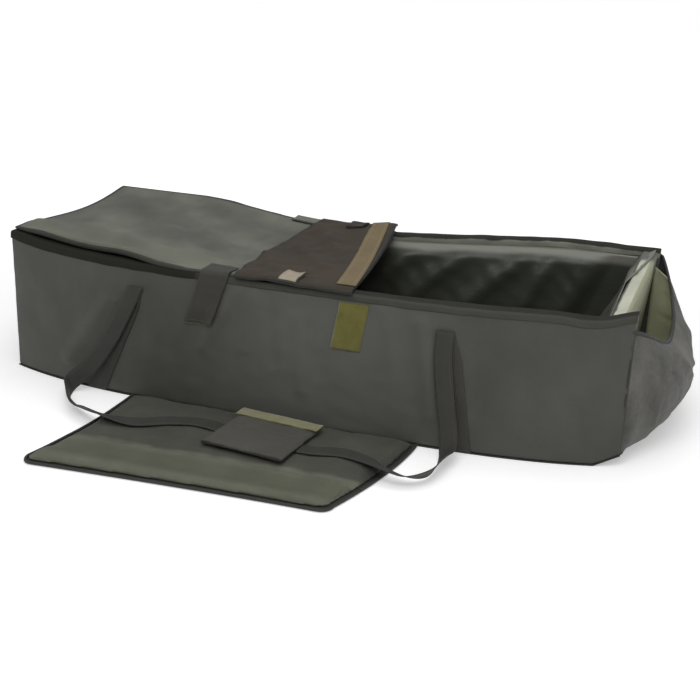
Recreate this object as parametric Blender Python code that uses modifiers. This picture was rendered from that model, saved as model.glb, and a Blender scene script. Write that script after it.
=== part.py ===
"""Carp cradle: a foam-walled tub for landing and unhooking carp, with a cloth lid, a kneeling mat,
carrying handles and a cloth pocket at its right end.

Metres, +Z up. The origin is the centre of the tub's underside, X runs along the tub and the front faces -Y.
"""

import math

import bmesh
import bpy
from mathutils import Matrix, Vector

# Tub, measured over its fabric
LENGTH = 1.104
WIDTH = 0.425
HEIGHT = 0.255
WALL = 0.025
FRONT_BOW = 0.055
BACK_BOW = 0.040
FRONT_SAG = 0.012
BACK_SAG = 0.020
BACK_DIP_X = -0.050
BACK_DIP_LEFT = 0.31
BACK_DIP_RIGHT = 0.45
LEFT_DIP = 0.013
LEFT_DIP_FADE = 0.080
CORNER_LIFT = 0.018
BASE_FOAM = 0.0215

# Padded right end, which stands inside the tub
END_THICKNESS = 0.028
END_SET_BACK = 0.039
END_LEAN = 0.025
END_SKEW = 0.012
END_LINER_REACH = 0.085

# Layers of cloth and tape
CLOTH = 0.0012
COVER = 0.0015
TAPE = 0.0010
WEBBING = 0.0016
LAY = 0.0004
SLACK = 0.0006
BINDING = 0.0012
BINDING_DROP = 0.012
SOFT_EDGE = 0.004
LINER_SLACK = 0.016

# Pocket sewn outside the right end
POCKET_BULGE = 0.084
POCKET_LIP_MIDDLE = 0.627 * HEIGHT
POCKET_FRONT_RISE = 0.259 * HEIGHT
POCKET_BACK_RISE = 0.333 * HEIGHT
POCKET_WIDEST = 0.60
POCKET_LIP_REACH = 0.50
POCKET_ROUNDNESS = 1.8
WELT_RADIUS = 0.0022

# Lid and the flap folded back on it
LID_INSET = 0.016
LID_SAG = 0.008
LID_EDGE_LIFT = 0.010
LID_EDGE_LIFT_END = -LENGTH / 6
FOLD_X = 0.088
FOLD_SKEW = 0.130
FLAP_LENGTH = 0.1915
FLAP_OVERHANG = 0.008
FLAP_WRINKLE = 0.003
FLAP_PUFF = 0.006
FLAP_PUFF_X = 0.045
BAND_WIDTH = 0.033
BAND_FRONT_X = 0.0965
BAND_BACK_X = 0.0225
CORNER_LUMP = 0.012

# Hook and loop tape
TAPE_WIDTH = 0.050
STRAP_X = -0.126
STRAP_LENGTH = 0.092
STRAP_LEAN = 0.030
STRAP_ROOT = 0.022
STRAP_TOP_DROP = 0.0005
HOOK_SHARE = 0.66
HOOK_MARGIN = 0.003
PATCH_LENGTH = 0.085
PATCH_DROP = 0.003
RIGHT_PATCH_X = 0.117
RIGHT_PATCH_LEAN = 0.013
TAB_WIDTH = 0.034
TAB_LENGTH = 0.050
TAB_FRONT_X = 0.003
TAB_BACK_X = -0.018

# Carrying handles
WEBBING_WIDTH = 0.038
HANDLE_WIDTH = 0.030
ANCHOR_X = 0.270
ANCHOR_HEIGHT = 0.213
WEBBING_LEAN_LEFT = 0.090
WEBBING_LEAN_RIGHT = 0.033
BACK_LOOP_REACH = 0.150
GRIP_LENGTH = 0.155
GRIP_DEPTH = 0.148
GRIP_PAD = 0.008
GRIP_TURN = math.radians(-6.5)
GRIP_CENTRE = (0.0045, -0.3715)
GRIP_STRIP = 0.028

# Kneeling mat
MAT_DEPTH = 0.271
MAT_FOLD = 0.193
MAT_LEFT_X = -0.284
MAT_RIGHT_X = 0.231
MAT_LEFT_SKEW = 0.034
MAT_RIGHT_SKEW = 0.060
MAT_FRONT_SKEW = 0.026
MAT_CORNER = 0.016
MAT_EDGE = 0.005
MAT_CROWN = 0.011
MAT_FOLD_GAP = 0.0008
MAT_TO_TUB = 0.0006
MAT_REAR_WELT_ROOM = 0.0006
MAT_FRONT_WELT_ROOM = 0.0020

HALF_LENGTH = LENGTH / 2
HALF_WIDTH = WIDTH / 2
INNER_Y = HALF_WIDTH - WALL
BINDING_STACK = LAY + BINDING
GROUND_TOP = COVER
FOOT = GROUND_TOP + LAY
FLOOR_TOP = FOOT + BASE_FOAM
LINER_FOOT = FLOOR_TOP + LAY + CLOTH + SLACK
LINER_TOP = HEIGHT - BINDING_DROP - SLACK
LEFT_INNER_X = -HALF_LENGTH + WALL
END_OUTER_X = HALF_LENGTH - END_SET_BACK
END_INNER_X = END_OUTER_X - END_THICKNESS
LIFT_START_X = END_OUTER_X + SLACK
LIFT_START_Y = HALF_WIDTH * 0.56
# The pocket's edges tuck in beside the rounded ends of the walls
POCKET_X = HALF_LENGTH + CLOTH + COVER - LAY

# Both walls bend at these places, so every layer laid on them is cut there too
BENDS = 12
STATIONS = sorted(
    [-HALF_LENGTH + LENGTH * i / BENDS for i in range(BENDS + 1)]
    + [LEFT_INNER_X, END_INNER_X, END_OUTER_X, LIFT_START_X]
)
DIPS = 8
DIP_STATIONS = [-INNER_Y + 2 * INNER_Y * i / DIPS for i in range(DIPS + 1)]

COLOURS = {
    "cover": (72, 73, 68),
    "lid": (96, 97, 90),
    "binding": (44, 45, 41),
    "liner": (40, 42, 37),
    "olive_lining": (128, 129, 107),
    "brown_lining": (62, 60, 50),
    "beige_band": (131, 116, 91),
    "beige_hook": (150, 141, 126),
    "olive_loop": (90, 88, 47),
    "strap": (58, 58, 53),
    "webbing": (55, 56, 51),
    "mat": (90, 91, 79),
    "grip": (76, 75, 68),
    "foam": (190, 188, 176),
    "ground_sheet": (50, 51, 47),
}

parts = None
materials = {}


def start_scene():
    """Empties the scene and makes the collection of parts."""
    global parts
    for old in list(bpy.data.objects):
        bpy.data.objects.remove(old, do_unlink=True)
    parts = bpy.data.collections.new("carp_cradle")
    bpy.context.scene.collection.children.link(parts)


def linear(value):
    """A screen value from 0 to 255 as linear light."""
    share = value / 255
    return share / 12.92 if share < 0.04045 else ((share + 0.055) / 1.055) ** 2.4


def material(colour):
    if colour not in materials:
        made = bpy.data.materials.new(colour)
        made.use_nodes = True
        shader = made.node_tree.nodes["Principled BSDF"]
        shader.inputs["Base Color"].default_value = [*map(linear, COLOURS[colour]), 1]
        shader.inputs["Roughness"].default_value = 0.7
        shader.inputs["Metallic"].default_value = 0
        materials[colour] = made
    return materials[colour]


def add_object(name, mesh, colour):
    made = bpy.data.objects.new(name, mesh)
    made.data.materials.append(material(colour))
    parts.objects.link(made)
    return made


# Shape of the tub: straight boards and sheets are drawn first and then bent together


def clamp(value, low=0.0, high=1.0):
    return max(low, min(high, value))


def between(first, last, share):
    return first + (last - first) * share


def straight_between(places, curve, where):
    """The curve at the given places, and straight between them."""
    for low, high in zip(places, places[1:]):
        if low <= where <= high and high > low:
            return between(curve(low), curve(high), (where - low) / (high - low))
    return 0.0


def front_share(x):
    """How much of its bow and sag the front wall has at a place along the tub."""
    return straight_between(STATIONS, lambda place: 1 - clamp(abs(place) / HALF_LENGTH) ** 4, x)


def back_share(x):
    """The back wall gives way around one place, and more gently towards the right."""
    def bell(place):
        apart = place - BACK_DIP_X
        reach = BACK_DIP_RIGHT if apart > 0 else BACK_DIP_LEFT
        return math.cos(math.pi / 2 * clamp(abs(apart) / reach)) ** 1.4

    return straight_between(STATIONS, bell, x)


def left_dip(x, y):
    """The left end sinks between its corners, most of all behind its middle."""
    def curve(place):
        across = clamp((place + INNER_Y) / (2 * INNER_Y))
        return math.sin(math.pi * across**1.4)

    along = clamp((LEFT_INNER_X + LEFT_DIP_FADE - x) / LEFT_DIP_FADE)
    return LEFT_DIP * along * straight_between(DIP_STATIONS, curve, y)


def corner_lift(x, y):
    """The front right corner of the base bends up off the ground along a slanted crease."""
    along = clamp((x - LIFT_START_X) / (HALF_LENGTH - LIFT_START_X))
    across = clamp((-y - LIFT_START_Y) / (INNER_Y - LIFT_START_Y))
    return CORNER_LIFT * clamp(along + across - 1)


def rim_drop(x, y):
    """How far the rim lies under its full height."""
    across = clamp((y + HALF_WIDTH) / WIDTH)
    return between(FRONT_SAG * front_share(x), BACK_SAG * back_share(x), across) + left_dip(x, y)


def rim_height(x, y):
    return HEIGHT - rim_drop(x, y)


def settle(point):
    """Moves a point of the straight tub to where the filled, leaning tub has it."""
    x, y, z = point
    across = (y + HALF_WIDTH) / WIDTH
    rise = z / HEIGHT
    return Vector((
        x,
        y - between(FRONT_BOW * front_share(x), BACK_BOW * back_share(x), across),
        z - rim_drop(x, y) * rise + corner_lift(x, y) * (1 - rise),
    ))


def settle_end(point):
    """The padded right end leans out at its top and stands a little askew."""
    x, y, z = point
    return settle((x + END_LEAN * z / HEIGHT + END_SKEW * (y + HALF_WIDTH) / WIDTH, y, z))


def cut(bm, place, normal):
    """Adds a row of edges where a plane crosses the mesh."""
    bmesh.ops.bisect_plane(bm, geom=[*bm.verts, *bm.edges, *bm.faces], plane_co=place, plane_no=normal, dist=1e-6)


def cut_at_bends(bm, at_dips=False):
    stations = [(0, STATIONS)]
    if at_dips:
        stations.append((1, DIP_STATIONS))
    for axis, places in stations:
        low = min(vertex.co[axis] for vertex in bm.verts)
        high = max(vertex.co[axis] for vertex in bm.verts)
        normal = (1, 0, 0) if axis == 0 else (0, 1, 0)
        for place in places:
            if low + 1e-4 < place < high - 1e-4:
                cut(bm, Vector(normal) * place, normal)


def finish(bm, name, colour, warp=settle):
    """Bends the drawn mesh and makes it an object."""
    for vertex in bm.verts:
        vertex.co = warp(vertex.co)
    mesh = bpy.data.meshes.new(name)
    bm.to_mesh(mesh)
    bm.free()
    return add_object(name, mesh, colour)


def thicken(made, thickness, offset):
    """Gives an open surface its thickness: offset 1 grows along the normals and -1 against them."""
    solidify = made.modifiers.new("Cloth thickness", "SOLIDIFY")
    solidify.thickness = thickness
    solidify.offset = offset
    solidify.use_even_offset = True


def round_edges(made, width):
    bevel = made.modifiers.new("Soft edges", "BEVEL")
    bevel.width = width
    bevel.segments = 2
    bevel.limit_method = "ANGLE"
    bevel.angle_limit = math.radians(50)


def drawn_box(low, high, open_sides=()):
    """A box between two corners, without the faces whose outward directions are listed."""
    bm = bmesh.new()
    bmesh.ops.create_cube(bm, size=1)
    low, high = Vector(low), Vector(high)
    size = high - low
    bmesh.ops.scale(bm, verts=bm.verts, vec=size)
    bmesh.ops.translate(bm, verts=bm.verts, vec=(low + high) / 2)
    bm.normal_update()
    gone = [face for face in bm.faces if any(face.normal.dot(Vector(side)) > 0.9 for side in open_sides)]
    bmesh.ops.delete(bm, geom=gone, context="FACES")
    return bm


def board(name, colour, low, high, edge=SOFT_EDGE, at_dips=False, warp=settle):
    """A solid board of the tub, such as a foam insert."""
    bm = drawn_box(low, high)
    cut_at_bends(bm, at_dips)
    made = finish(bm, name, colour, warp)
    if edge:
        round_edges(made, edge)
    return made


def sleeve(name, colour, low, high, open_sides, thickness, outward=False, at_dips=False, warp=settle):
    """A fabric sleeve over a board, open on the listed sides."""
    bm = drawn_box(low, high, open_sides)
    cut_at_bends(bm, at_dips)
    made = finish(bm, name, colour, warp)
    round_edges(made, SOFT_EDGE)
    thicken(made, thickness, 1 if outward else -1)
    return made


def sheet(name, colour, across, along, place, thickness, offset, warp=settle, at_bends=True, split=False):
    """Cloth drawn as a grid: place turns two shares from 0 to 1 into a point."""
    bm = bmesh.new()
    bmesh.ops.create_grid(bm, x_segments=across, y_segments=along, size=0.5)
    for vertex in bm.verts:
        vertex.co = Vector(place(vertex.co.x + 0.5, vertex.co.y + 0.5))
    if split:
        bmesh.ops.triangulate(bm, faces=bm.faces, quad_method="FIXED")
    if at_bends:
        cut_at_bends(bm)
    made = finish(bm, name, colour, warp)
    thicken(made, thickness, offset)
    made.data.shade_smooth()
    return made


def as_drawn(point):
    return Vector(point)


# Tub


def ground_sheet():
    bm = drawn_box((-HALF_LENGTH, -HALF_WIDTH, 0), (HALF_LENGTH, HALF_WIDTH, GROUND_TOP))
    cut_at_bends(bm)
    for y in (-INNER_Y, -LIFT_START_Y):
        cut(bm, (0, y, 0), (0, 1, 0))
    crease = Vector((HALF_LENGTH - LIFT_START_X, INNER_Y - LIFT_START_Y, 0))
    cut(bm, (HALF_LENGTH, -LIFT_START_Y, 0), crease.cross((0, 0, 1)))
    return finish(bm, "ground_sheet", "ground_sheet")


def side_wall(side, name):
    """A long wall: its sleeve, its foam and the binding on its rim. side is -1 in front and 1 behind."""
    outer = side * HALF_WIDTH
    inner = side * INNER_Y
    near, far = min(outer, inner), max(outer, inner)
    inset = COVER + SLACK
    wrap = BINDING_STACK - BINDING
    sleeve(f"{name}_wall_cover", "cover", (-HALF_LENGTH, near, FOOT), (HALF_LENGTH, far, HEIGHT), [(0, 0, -1)], COVER)
    board(
        f"{name}_wall_foam",
        "foam",
        (-HALF_LENGTH + inset, near + inset, FOOT),
        (HALF_LENGTH - inset, far - inset, HEIGHT - inset),
    )
    sleeve(
        f"{name}_rim_binding",
        "binding",
        (-HALF_LENGTH, near - wrap, HEIGHT - BINDING_DROP),
        (HALF_LENGTH, far + wrap, HEIGHT + wrap),
        [(0, 0, -1), (1, 0, 0), (-1, 0, 0)],
        BINDING,
        outward=True,
    )


def left_end():
    reach = INNER_Y - BINDING_STACK - LAY
    inset = COVER + SLACK
    sleeve(
        "left_end_cover",
        "cover",
        (-HALF_LENGTH, -reach, FOOT),
        (LEFT_INNER_X, reach, HEIGHT),
        [(0, 0, -1)],
        COVER,
        at_dips=True,
    )
    board(
        "left_end_foam",
        "foam",
        (-HALF_LENGTH + inset, -reach + inset, FOOT),
        (LEFT_INNER_X - inset, reach - inset, HEIGHT - inset),
        at_dips=True,
    )
    sleeve(
        "left_rim_binding",
        "binding",
        (-HALF_LENGTH - LAY, -reach, HEIGHT - BINDING_DROP),
        (LEFT_INNER_X + LAY, reach, HEIGHT + LAY),
        [(0, 0, -1), (0, 1, 0), (0, -1, 0)],
        BINDING,
        outward=True,
        at_dips=True,
    )


def end_liner_x(up):
    """The slack liner of the right end slopes from the rim down into the tub."""
    return END_INNER_X - LAY - CLOTH - END_LINER_REACH * (1 - up) ** 1.3


def right_end():
    """The padded end, whose pale top shows, and the slack liner in front of it."""
    reach = INNER_Y - BINDING_STACK - LAY
    inset = COVER + SLACK
    sleeve(
        "right_end_cover",
        "olive_lining",
        (END_INNER_X, -reach, FOOT),
        (END_OUTER_X, reach, HEIGHT),
        [(0, 0, -1)],
        COVER,
        warp=settle_end,
    )
    board(
        "right_end_foam",
        "foam",
        (END_INNER_X + inset, -reach + inset, FOOT),
        (END_OUTER_X - inset, reach - inset, HEIGHT - inset),
        warp=settle_end,
    )
    side = reach - CLOTH - LAY

    def hang(across, up):
        return (
            end_liner_x(up),
            between(-side, side, across),
            between(LINER_FOOT + SLACK, LINER_TOP, up),
        )

    sheet("right_end_liner", "liner", 6, 8, hang, CLOTH, 1, settle_end)


def base_pad():
    side = INNER_Y - LAY
    board("base_foam", "foam", (LEFT_INNER_X + LAY, -side, FOOT), (END_INNER_X - LAY, side, FLOOR_TOP), edge=0)
    side = side - CLOTH - LAY
    board(
        "floor_liner",
        "liner",
        (LEFT_INNER_X + LAY, -side, FLOOR_TOP + LAY),
        (END_INNER_X - LAY, side, FLOOR_TOP + LAY + CLOTH),
        edge=0,
    )


def ridge(x, z, top, foot, width):
    """Height of a soft fold that runs along the line from top to foot, each an x and a z."""
    run = Vector((foot[0] - top[0], foot[1] - top[1]))
    apart = Vector((x - top[0], z - top[1]))
    along = clamp(apart.dot(run) / run.length_squared)
    gap = (apart - run * along).length
    return math.exp(-((gap / width) ** 2))


LINER_FOLDS = (
    ((0.327, 0.247), (0.185, 0.105), 0.016),
    ((0.372, 0.250), (0.305, 0.110), 0.014),
    ((0.215, 0.235), (0.120, 0.120), 0.020),
    ((0.440, 0.245), (0.390, 0.140), 0.016),
)
FOLD_HEIGHT = 0.010
LINER_CLEAR = 0.008


def slack_of(x, z):
    """How far the back wall's liner hangs off its wall."""
    up = clamp((z - LINER_FOOT) / (LINER_TOP - LINER_FOOT))
    free = clamp((end_liner_x(up) - LINER_CLEAR - x) / 0.05)
    hang = LINER_SLACK * math.sin(math.pi * up) ** 0.8 if 0 < up < 1 else 0
    folds = sum(ridge(x, z, *fold) for fold in LINER_FOLDS)
    edges = min(1.0, 6 * up * (1 - up))
    return (hang + FOLD_HEIGHT * folds * edges) * free


def liners():
    left = LEFT_INNER_X + LAY + CLOTH + LAY
    right = END_INNER_X - LAY

    def back(along, up):
        x = between(left, right, along)
        z = between(LINER_FOOT, LINER_TOP, up)
        return (x, INNER_Y - LAY - CLOTH - slack_of(x, z), z)

    sheet("back_wall_liner", "liner", 26, 9, back, CLOTH, -1)

    def front(along, up):
        return (between(left, right, along), -INNER_Y + LAY, between(LINER_FOOT, LINER_TOP, up))

    sheet("front_wall_liner", "liner", 1, 1, front, CLOTH, -1)
    side = INNER_Y - 2 * LAY - CLOTH

    foot = LINER_FOOT + LEFT_DIP * LINER_FOOT / HEIGHT

    def end(across, up):
        return (LEFT_INNER_X + LAY, between(-side, side, across), between(foot, LINER_TOP, up))

    sheet("left_end_liner", "liner", DIPS, 1, end, CLOTH, 1)


# Pocket at the right end


def pocket_lip(y):
    """Height of the pocket's edge: it hangs in its middle and rises most at the back corner."""
    out = clamp(abs(y) / HALF_WIDTH)
    return POCKET_LIP_MIDDLE + (POCKET_FRONT_RISE * out**1.6 if y < 0 else POCKET_BACK_RISE * out**1.8)


def pocket_profile(row):
    """Reach and rise shares of the pocket's wall, from its foot at 0 to its lip at 1."""
    turn = 0.55
    power = 2 / POCKET_ROUNDNESS
    if row <= turn:
        angle = math.pi / 2 * (1 - row / turn)
        return math.cos(angle) ** power, POCKET_WIDEST * (1 - math.sin(angle) ** power)
    up = (row - turn) / (1 - turn)
    return 1 - (1 - POCKET_LIP_REACH) * up ** 2.5, POCKET_WIDEST + (1 - POCKET_WIDEST) * up


def pocket_point(across, row):
    """A point of the pocket's outer cloth."""
    y = between(-HALF_WIDTH, HALF_WIDTH, across)
    reach, rise = pocket_profile(row)
    bulge = POCKET_BULGE * (1 - clamp(abs(y) / HALF_WIDTH) ** 2.6)
    foot = COVER + LAY
    return Vector((POCKET_X + bulge * reach, y, between(foot, pocket_lip(y), rise)))


def pocket_inside(across, row, depth):
    """The point at this depth under the pocket's outer cloth."""
    step = 0.01
    side = pocket_point(min(1, across + step), row) - pocket_point(max(0, across - step), row)
    up = pocket_point(across, min(1, row + step)) - pocket_point(across, max(0, row - step))
    return pocket_point(across, row) - side.cross(up).normalized() * depth


def end_pocket():
    rows = 13
    sheet("end_pocket_cloth", "cover", 18, rows, pocket_point, COVER, -1)
    lowest = 2

    def inner(across, row):
        return pocket_inside(across, between(lowest / rows, 1, row), COVER + LAY)

    sheet("end_pocket_lining", "olive_lining", 18, rows - lowest, inner, CLOTH, -1)
    steps = 24
    rise = WELT_RADIUS + LAY
    route = []
    for i in range(steps + 1):
        x, y, z = pocket_point(i / steps, 1)
        route.append(settle((x, y, z + rise)))
    tube("end_pocket_binding", "binding", route, WELT_RADIUS)


def tube(name, colour, route, radius):
    """A round welt along a route of points, with filled ends."""
    curve = bpy.data.curves.new(name, "CURVE")
    curve.dimensions = "3D"
    curve.bevel_depth = radius
    curve.bevel_resolution = 1
    curve.use_fill_caps = True
    spline = curve.splines.new("POLY")
    spline.points.add(len(route) - 1)
    for point, place in zip(spline.points, route):
        point.co = (*place, 1)
    return add_object(name, curve, colour)


# Lid and flap

LID_STACK = BINDING_STACK + SLACK
LID_TOP = LID_STACK + CLOTH + LAY + CLOTH
FLAP_STACK = LID_TOP + SLACK
FLAP_TOP = FLAP_STACK + CLOTH + LAY + CLOTH
FLAP_AXIS_RISE = LID_TOP + SLACK / 2
LID_FOLDS = (
    ((-0.50, 0.14), (-0.20, -0.13), 0.040),
    ((-0.44, -0.13), (-0.12, -0.16), 0.030),
)
LID_FOLD_HEIGHT = 0.005
LID_AXIS_X = -HALF_LENGTH - BINDING_STACK - LAY
LID_START = 0.002
FOLD_CLEAR = 0.004


def lid_height(x, y):
    """Height of the lid's underside: it rests on the rims, sags between them and lies in folds."""
    across = clamp(abs(y) / (HALF_WIDTH - LID_INSET))
    free = (1 - across**2) * clamp((x - LEFT_INNER_X - 0.05) / 0.09)
    folds = sum(ridge(x, y, *fold) for fold in LID_FOLDS)
    lump = CORNER_LUMP * ridge(x, y, (LID_AXIS_X + 0.03, -0.150), (LID_AXIS_X + 0.05, -0.140), 0.022)
    flat = clamp((FOLD_X - FLAP_LENGTH - x) / 0.03)
    draped = (LID_FOLD_HEIGHT * folds * flat - LID_SAG) * free
    return rim_height(x, y) + LID_STACK + draped + lump + edge_lift(x, y)


def edge_lift(x, y):
    """The lid's front edge stands off the rim between its seam and its closing strap."""
    along = clamp((x - LID_AXIS_X) / (LID_EDGE_LIFT_END - LID_AXIS_X))
    across = clamp((-y - HALF_WIDTH / 2) / (HALF_WIDTH / 2 - LID_INSET))
    return LID_EDGE_LIFT * math.sin(math.pi * along) ** 0.7 * across**1.5 if along < 1 else 0.0


def fold_x(y):
    """The flap's fold runs askew, further right in front than behind."""
    return FOLD_X - FOLD_SKEW * (settle((FOLD_X, y, 0)).y - settle((FOLD_X, 0, 0)).y)


def bow_only(point):
    """Follows the bowed walls in plan and leaves the height as it is drawn."""
    x, y, z = point
    return Vector((x, settle((x, y, 0)).y, z))


def lid_places(first, last, stations):
    """Rows of the lid's grid: its edges, the stations between them and a row between each two stations."""
    inside = [place for place in stations if first + 0.004 < place < last - 0.004]
    halves = [between(low, high, 0.5) for low, high in zip(inside, inside[1:])]
    return sorted([first, last, *inside, *halves])


def lid():
    side = HALF_WIDTH - LID_INSET
    columns = lid_places(LID_AXIS_X + LID_START, FOLD_X - FOLD_CLEAR, STATIONS)
    rows = [-side, *DIP_STATIONS, side]

    def layer(rise):
        def place(along, across):
            x = columns[round(along * (len(columns) - 1))]
            y = rows[round(across * (len(rows) - 1))]
            x += (fold_x(y) - FOLD_X) * clamp(x / (FOLD_X - FOLD_CLEAR))
            return (x, y, lid_height(x, y) + rise)

        return place

    across, along = len(columns) - 1, len(rows) - 1
    sheet("lid_lining", "brown_lining", across, along, layer(0), CLOTH, 1, bow_only, at_bends=False)
    sheet("lid_panel", "lid", across, along, layer(CLOTH + LAY), CLOTH, 1, bow_only, at_bends=False)


def flap_edge_x(y):
    """The flap's free edge waves a little."""
    return FOLD_X - FLAP_LENGTH - 0.006 * math.cos(math.pi * y / HALF_WIDTH)


def flap_height(x, y):
    """Height of the flap's lower side: it follows the lid and lifts in small wrinkles."""
    free = clamp((FOLD_X - x) / 0.08)
    wave = 0.5 + 0.5 * math.sin(38 * x + 21 * y + 1.2)
    behind = clamp((y + HALF_WIDTH) / WIDTH) ** 2
    puff = math.exp(-(((x - FLAP_PUFF_X) / 0.03) ** 2)) * behind
    return lid_height(x, y) + LID_TOP - LID_STACK + SLACK + FLAP_WRINKLE * wave * free + FLAP_PUFF * puff


def flap():
    side = HALF_WIDTH + FLAP_OVERHANG

    def layer(rise):
        def place(along, across):
            y = between(-side, side, across)
            x = between(fold_x(y) - FOLD_CLEAR, flap_edge_x(y), 1 - along)
            return (x, y, flap_height(x, y) + rise)

        return place

    sheet("flap_panel", "lid", 10, 14, layer(0), CLOTH, 1, bow_only)
    sheet("flap_lining", "brown_lining", 10, 14, layer(CLOTH + LAY), CLOTH, 1, bow_only)

    def band(along, across):
        y = between(-side + 0.003, side - 0.003, across)
        middle = between(BAND_FRONT_X, BAND_BACK_X, across)
        x = middle + BAND_WIDTH * (along - 0.5)
        return (x, y, flap_height(x, y) + 2 * (CLOTH + LAY) + LAY)

    sheet("flap_cross_band", "beige_band", 4, 14, band, TAPE, 1, bow_only)


def tab_x(side):
    return TAB_FRONT_X if side < 0 else TAB_BACK_X


def flap_tab(side, name):
    """A closing tab folded in on the flap, hook side up, and hinged at the flap's edge."""
    edge = HALF_WIDTH + FLAP_OVERHANG

    def layer(lift, inset):
        def place(along, across):
            x = tab_x(side) + (TAB_WIDTH - 2 * inset) * (along - 0.5)
            y = side * (edge - between(inset, TAB_LENGTH - inset, across if side > 0 else 1 - across))
            return (x, y, tab_base(side) + lift)

        return place

    flip = -1 if side > 0 else 1
    sheet(f"flap_{name}_tab", "strap", 1, 2, layer(0, 0), CLOTH, flip, bow_only)
    sheet(f"flap_{name}_tab_hook", "beige_hook", 1, 2, layer(CLOTH + LAY, 0.002), TAPE, flip, bow_only)


def tab_base(side):
    """The tab lies level on the highest place of the flap under it, the front one clear of the flap's wavy edge."""
    edge = HALF_WIDTH + FLAP_OVERHANG
    steps = 8
    heights = []
    for i in range(steps + 1):
        for j in range(steps + 1):
            x = tab_x(side) + TAB_WIDTH * (i / steps - 0.5)
            y = side * (edge - TAB_LENGTH * j / steps)
            heights.append(flap_height(x, y))
    return max(heights) + 2 * (CLOTH + LAY) + SLACK + (LAY if side < 0 else 0)


# Straps and tape on the walls


def on_wall(side, x, height, out):
    """A point out from a long wall's outer face, in the bent tub."""
    return settle((x, side * (HALF_WIDTH + out), height))


def strap_on_wall(side, x, height, out, lean):
    """A place on a strap's route down a wall, with the direction of its width: lean tips it down."""
    step = 0.01
    along = on_wall(side, x + step, height, out) - on_wall(side, x - step, height, out)
    return on_wall(side, x, height, out), along.normalized() + Vector((0, 0, -lean))


def wall_strip(side, name, colour, x, lean, top, length, width, thickness, out):
    """Tape or webbing laid on a long wall. lean moves its foot along X."""
    turn = 1 if side < 0 else -1

    def place(along, up):
        middle = x + lean * (1 - up)
        return (
            middle + width * (along - 0.5),
            side * (HALF_WIDTH + out),
            between(top - length, top, up),
        )

    return sheet(name, colour, 1, 3, place, thickness, turn)


def strap_stack():
    return LAY + TAPE + LAY + TAPE + LAY


def strap_axis(side):
    """Where a closing strap hinges at the rim."""
    height = rim_height(STRAP_X, side * HALF_WIDTH) + LID_TOP + LAY
    y = settle((STRAP_X, side * (HALF_WIDTH + strap_stack()), HEIGHT)).y
    return Vector((STRAP_X, y, height))


def closing_strap(side, name):
    """The strap that holds the lid down: its root on the lid, its hanging part and its hook tape."""
    top = HEIGHT + LID_TOP - STRAP_TOP_DROP

    def root(along, across):
        share = across if side < 0 else 1 - across
        x = STRAP_X + TAPE_WIDTH * (along - 0.5)
        y = side * between(HALF_WIDTH + strap_stack(), HALF_WIDTH - LID_INSET - STRAP_ROOT, share)
        return (x, y, rim_height(x, side * HALF_WIDTH) + LID_TOP + LAY)

    sheet(f"lid_{name}_strap_root", "strap", 1, 3, root, CLOTH, 1, bow_only)
    wall_strip(
        side, f"lid_{name}_strap", "strap", STRAP_X, -STRAP_LEAN, top, STRAP_LENGTH, TAPE_WIDTH, CLOTH, strap_stack()
    )
    above = (1 - HOOK_SHARE) * 0.8
    wall_strip(
        side,
        f"lid_{name}_strap_hook",
        "beige_hook",
        STRAP_X - STRAP_LEAN * above,
        -STRAP_LEAN * HOOK_SHARE,
        top - STRAP_LENGTH * above,
        STRAP_LENGTH * HOOK_SHARE,
        TAPE_WIDTH - 2 * HOOK_MARGIN,
        TAPE,
        LAY + TAPE + LAY,
    )


def loop_patches(side, name):
    top = HEIGHT - BINDING_DROP - PATCH_DROP
    wall_strip(
        side,
        f"{name}_loop_patch_left",
        "olive_loop",
        STRAP_X - STRAP_LEAN * (HEIGHT - top) / STRAP_LENGTH,
        -STRAP_LEAN,
        top,
        PATCH_LENGTH,
        TAPE_WIDTH,
        TAPE,
        LAY,
    )
    wall_strip(
        side,
        f"{name}_loop_patch_right",
        "olive_loop",
        RIGHT_PATCH_X,
        -RIGHT_PATCH_LEAN,
        top,
        PATCH_LENGTH,
        TAPE_WIDTH,
        TAPE,
        LAY,
    )


def sewn_webbing(side, name):
    """Webbing sewn down a wall under each handle anchor."""
    length = ANCHOR_HEIGHT - FOOT
    leans = {"left": -WEBBING_LEAN_LEFT, "right": WEBBING_LEAN_RIGHT}
    for end, place in (("left", -ANCHOR_X), ("right", ANCHOR_X)):
        wall_strip(
            side,
            f"{name}_webbing_{end}",
            "webbing",
            place,
            leans[end],
            ANCHOR_HEIGHT,
            length,
            WEBBING_WIDTH,
            WEBBING,
            LAY,
        )


# Handles


def smooth_route(points, per_span):
    """Points of a smooth curve through the given ones, each a place with a width direction."""
    found = []
    ends = [points[0], *points, points[-1]]
    for i in range(1, len(ends) - 2):
        before, start, end, after = ends[i - 1 : i + 3]
        for step in range(per_span):
            t = step / per_span
            found.append([
                0.5 * (2 * start[k] + (end[k] - before[k]) * t
                       + (2 * before[k] - 5 * start[k] + 4 * end[k] - after[k]) * t**2
                       + (3 * start[k] - before[k] - 3 * end[k] + after[k]) * t**3)
                for k in (0, 1)
            ])
    found.append(list(points[-1]))
    return found


def webbing_loop(name, route, per_span):
    """A flat strap along a route. Each route point has its place and the direction of its width."""
    path = smooth_route(route, per_span)
    for middle, wide in path:
        middle.z = max(middle.z, WEBBING / 2 + SLACK)
    last = len(path) - 1

    def place(along, across):
        middle, wide = path[round(along * last)]
        return middle + wide.normalized() * HANDLE_WIDTH * (across - 0.5)

    return sheet(name, "webbing", last, 1, place, WEBBING, 0, as_drawn, at_bends=False)


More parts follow.
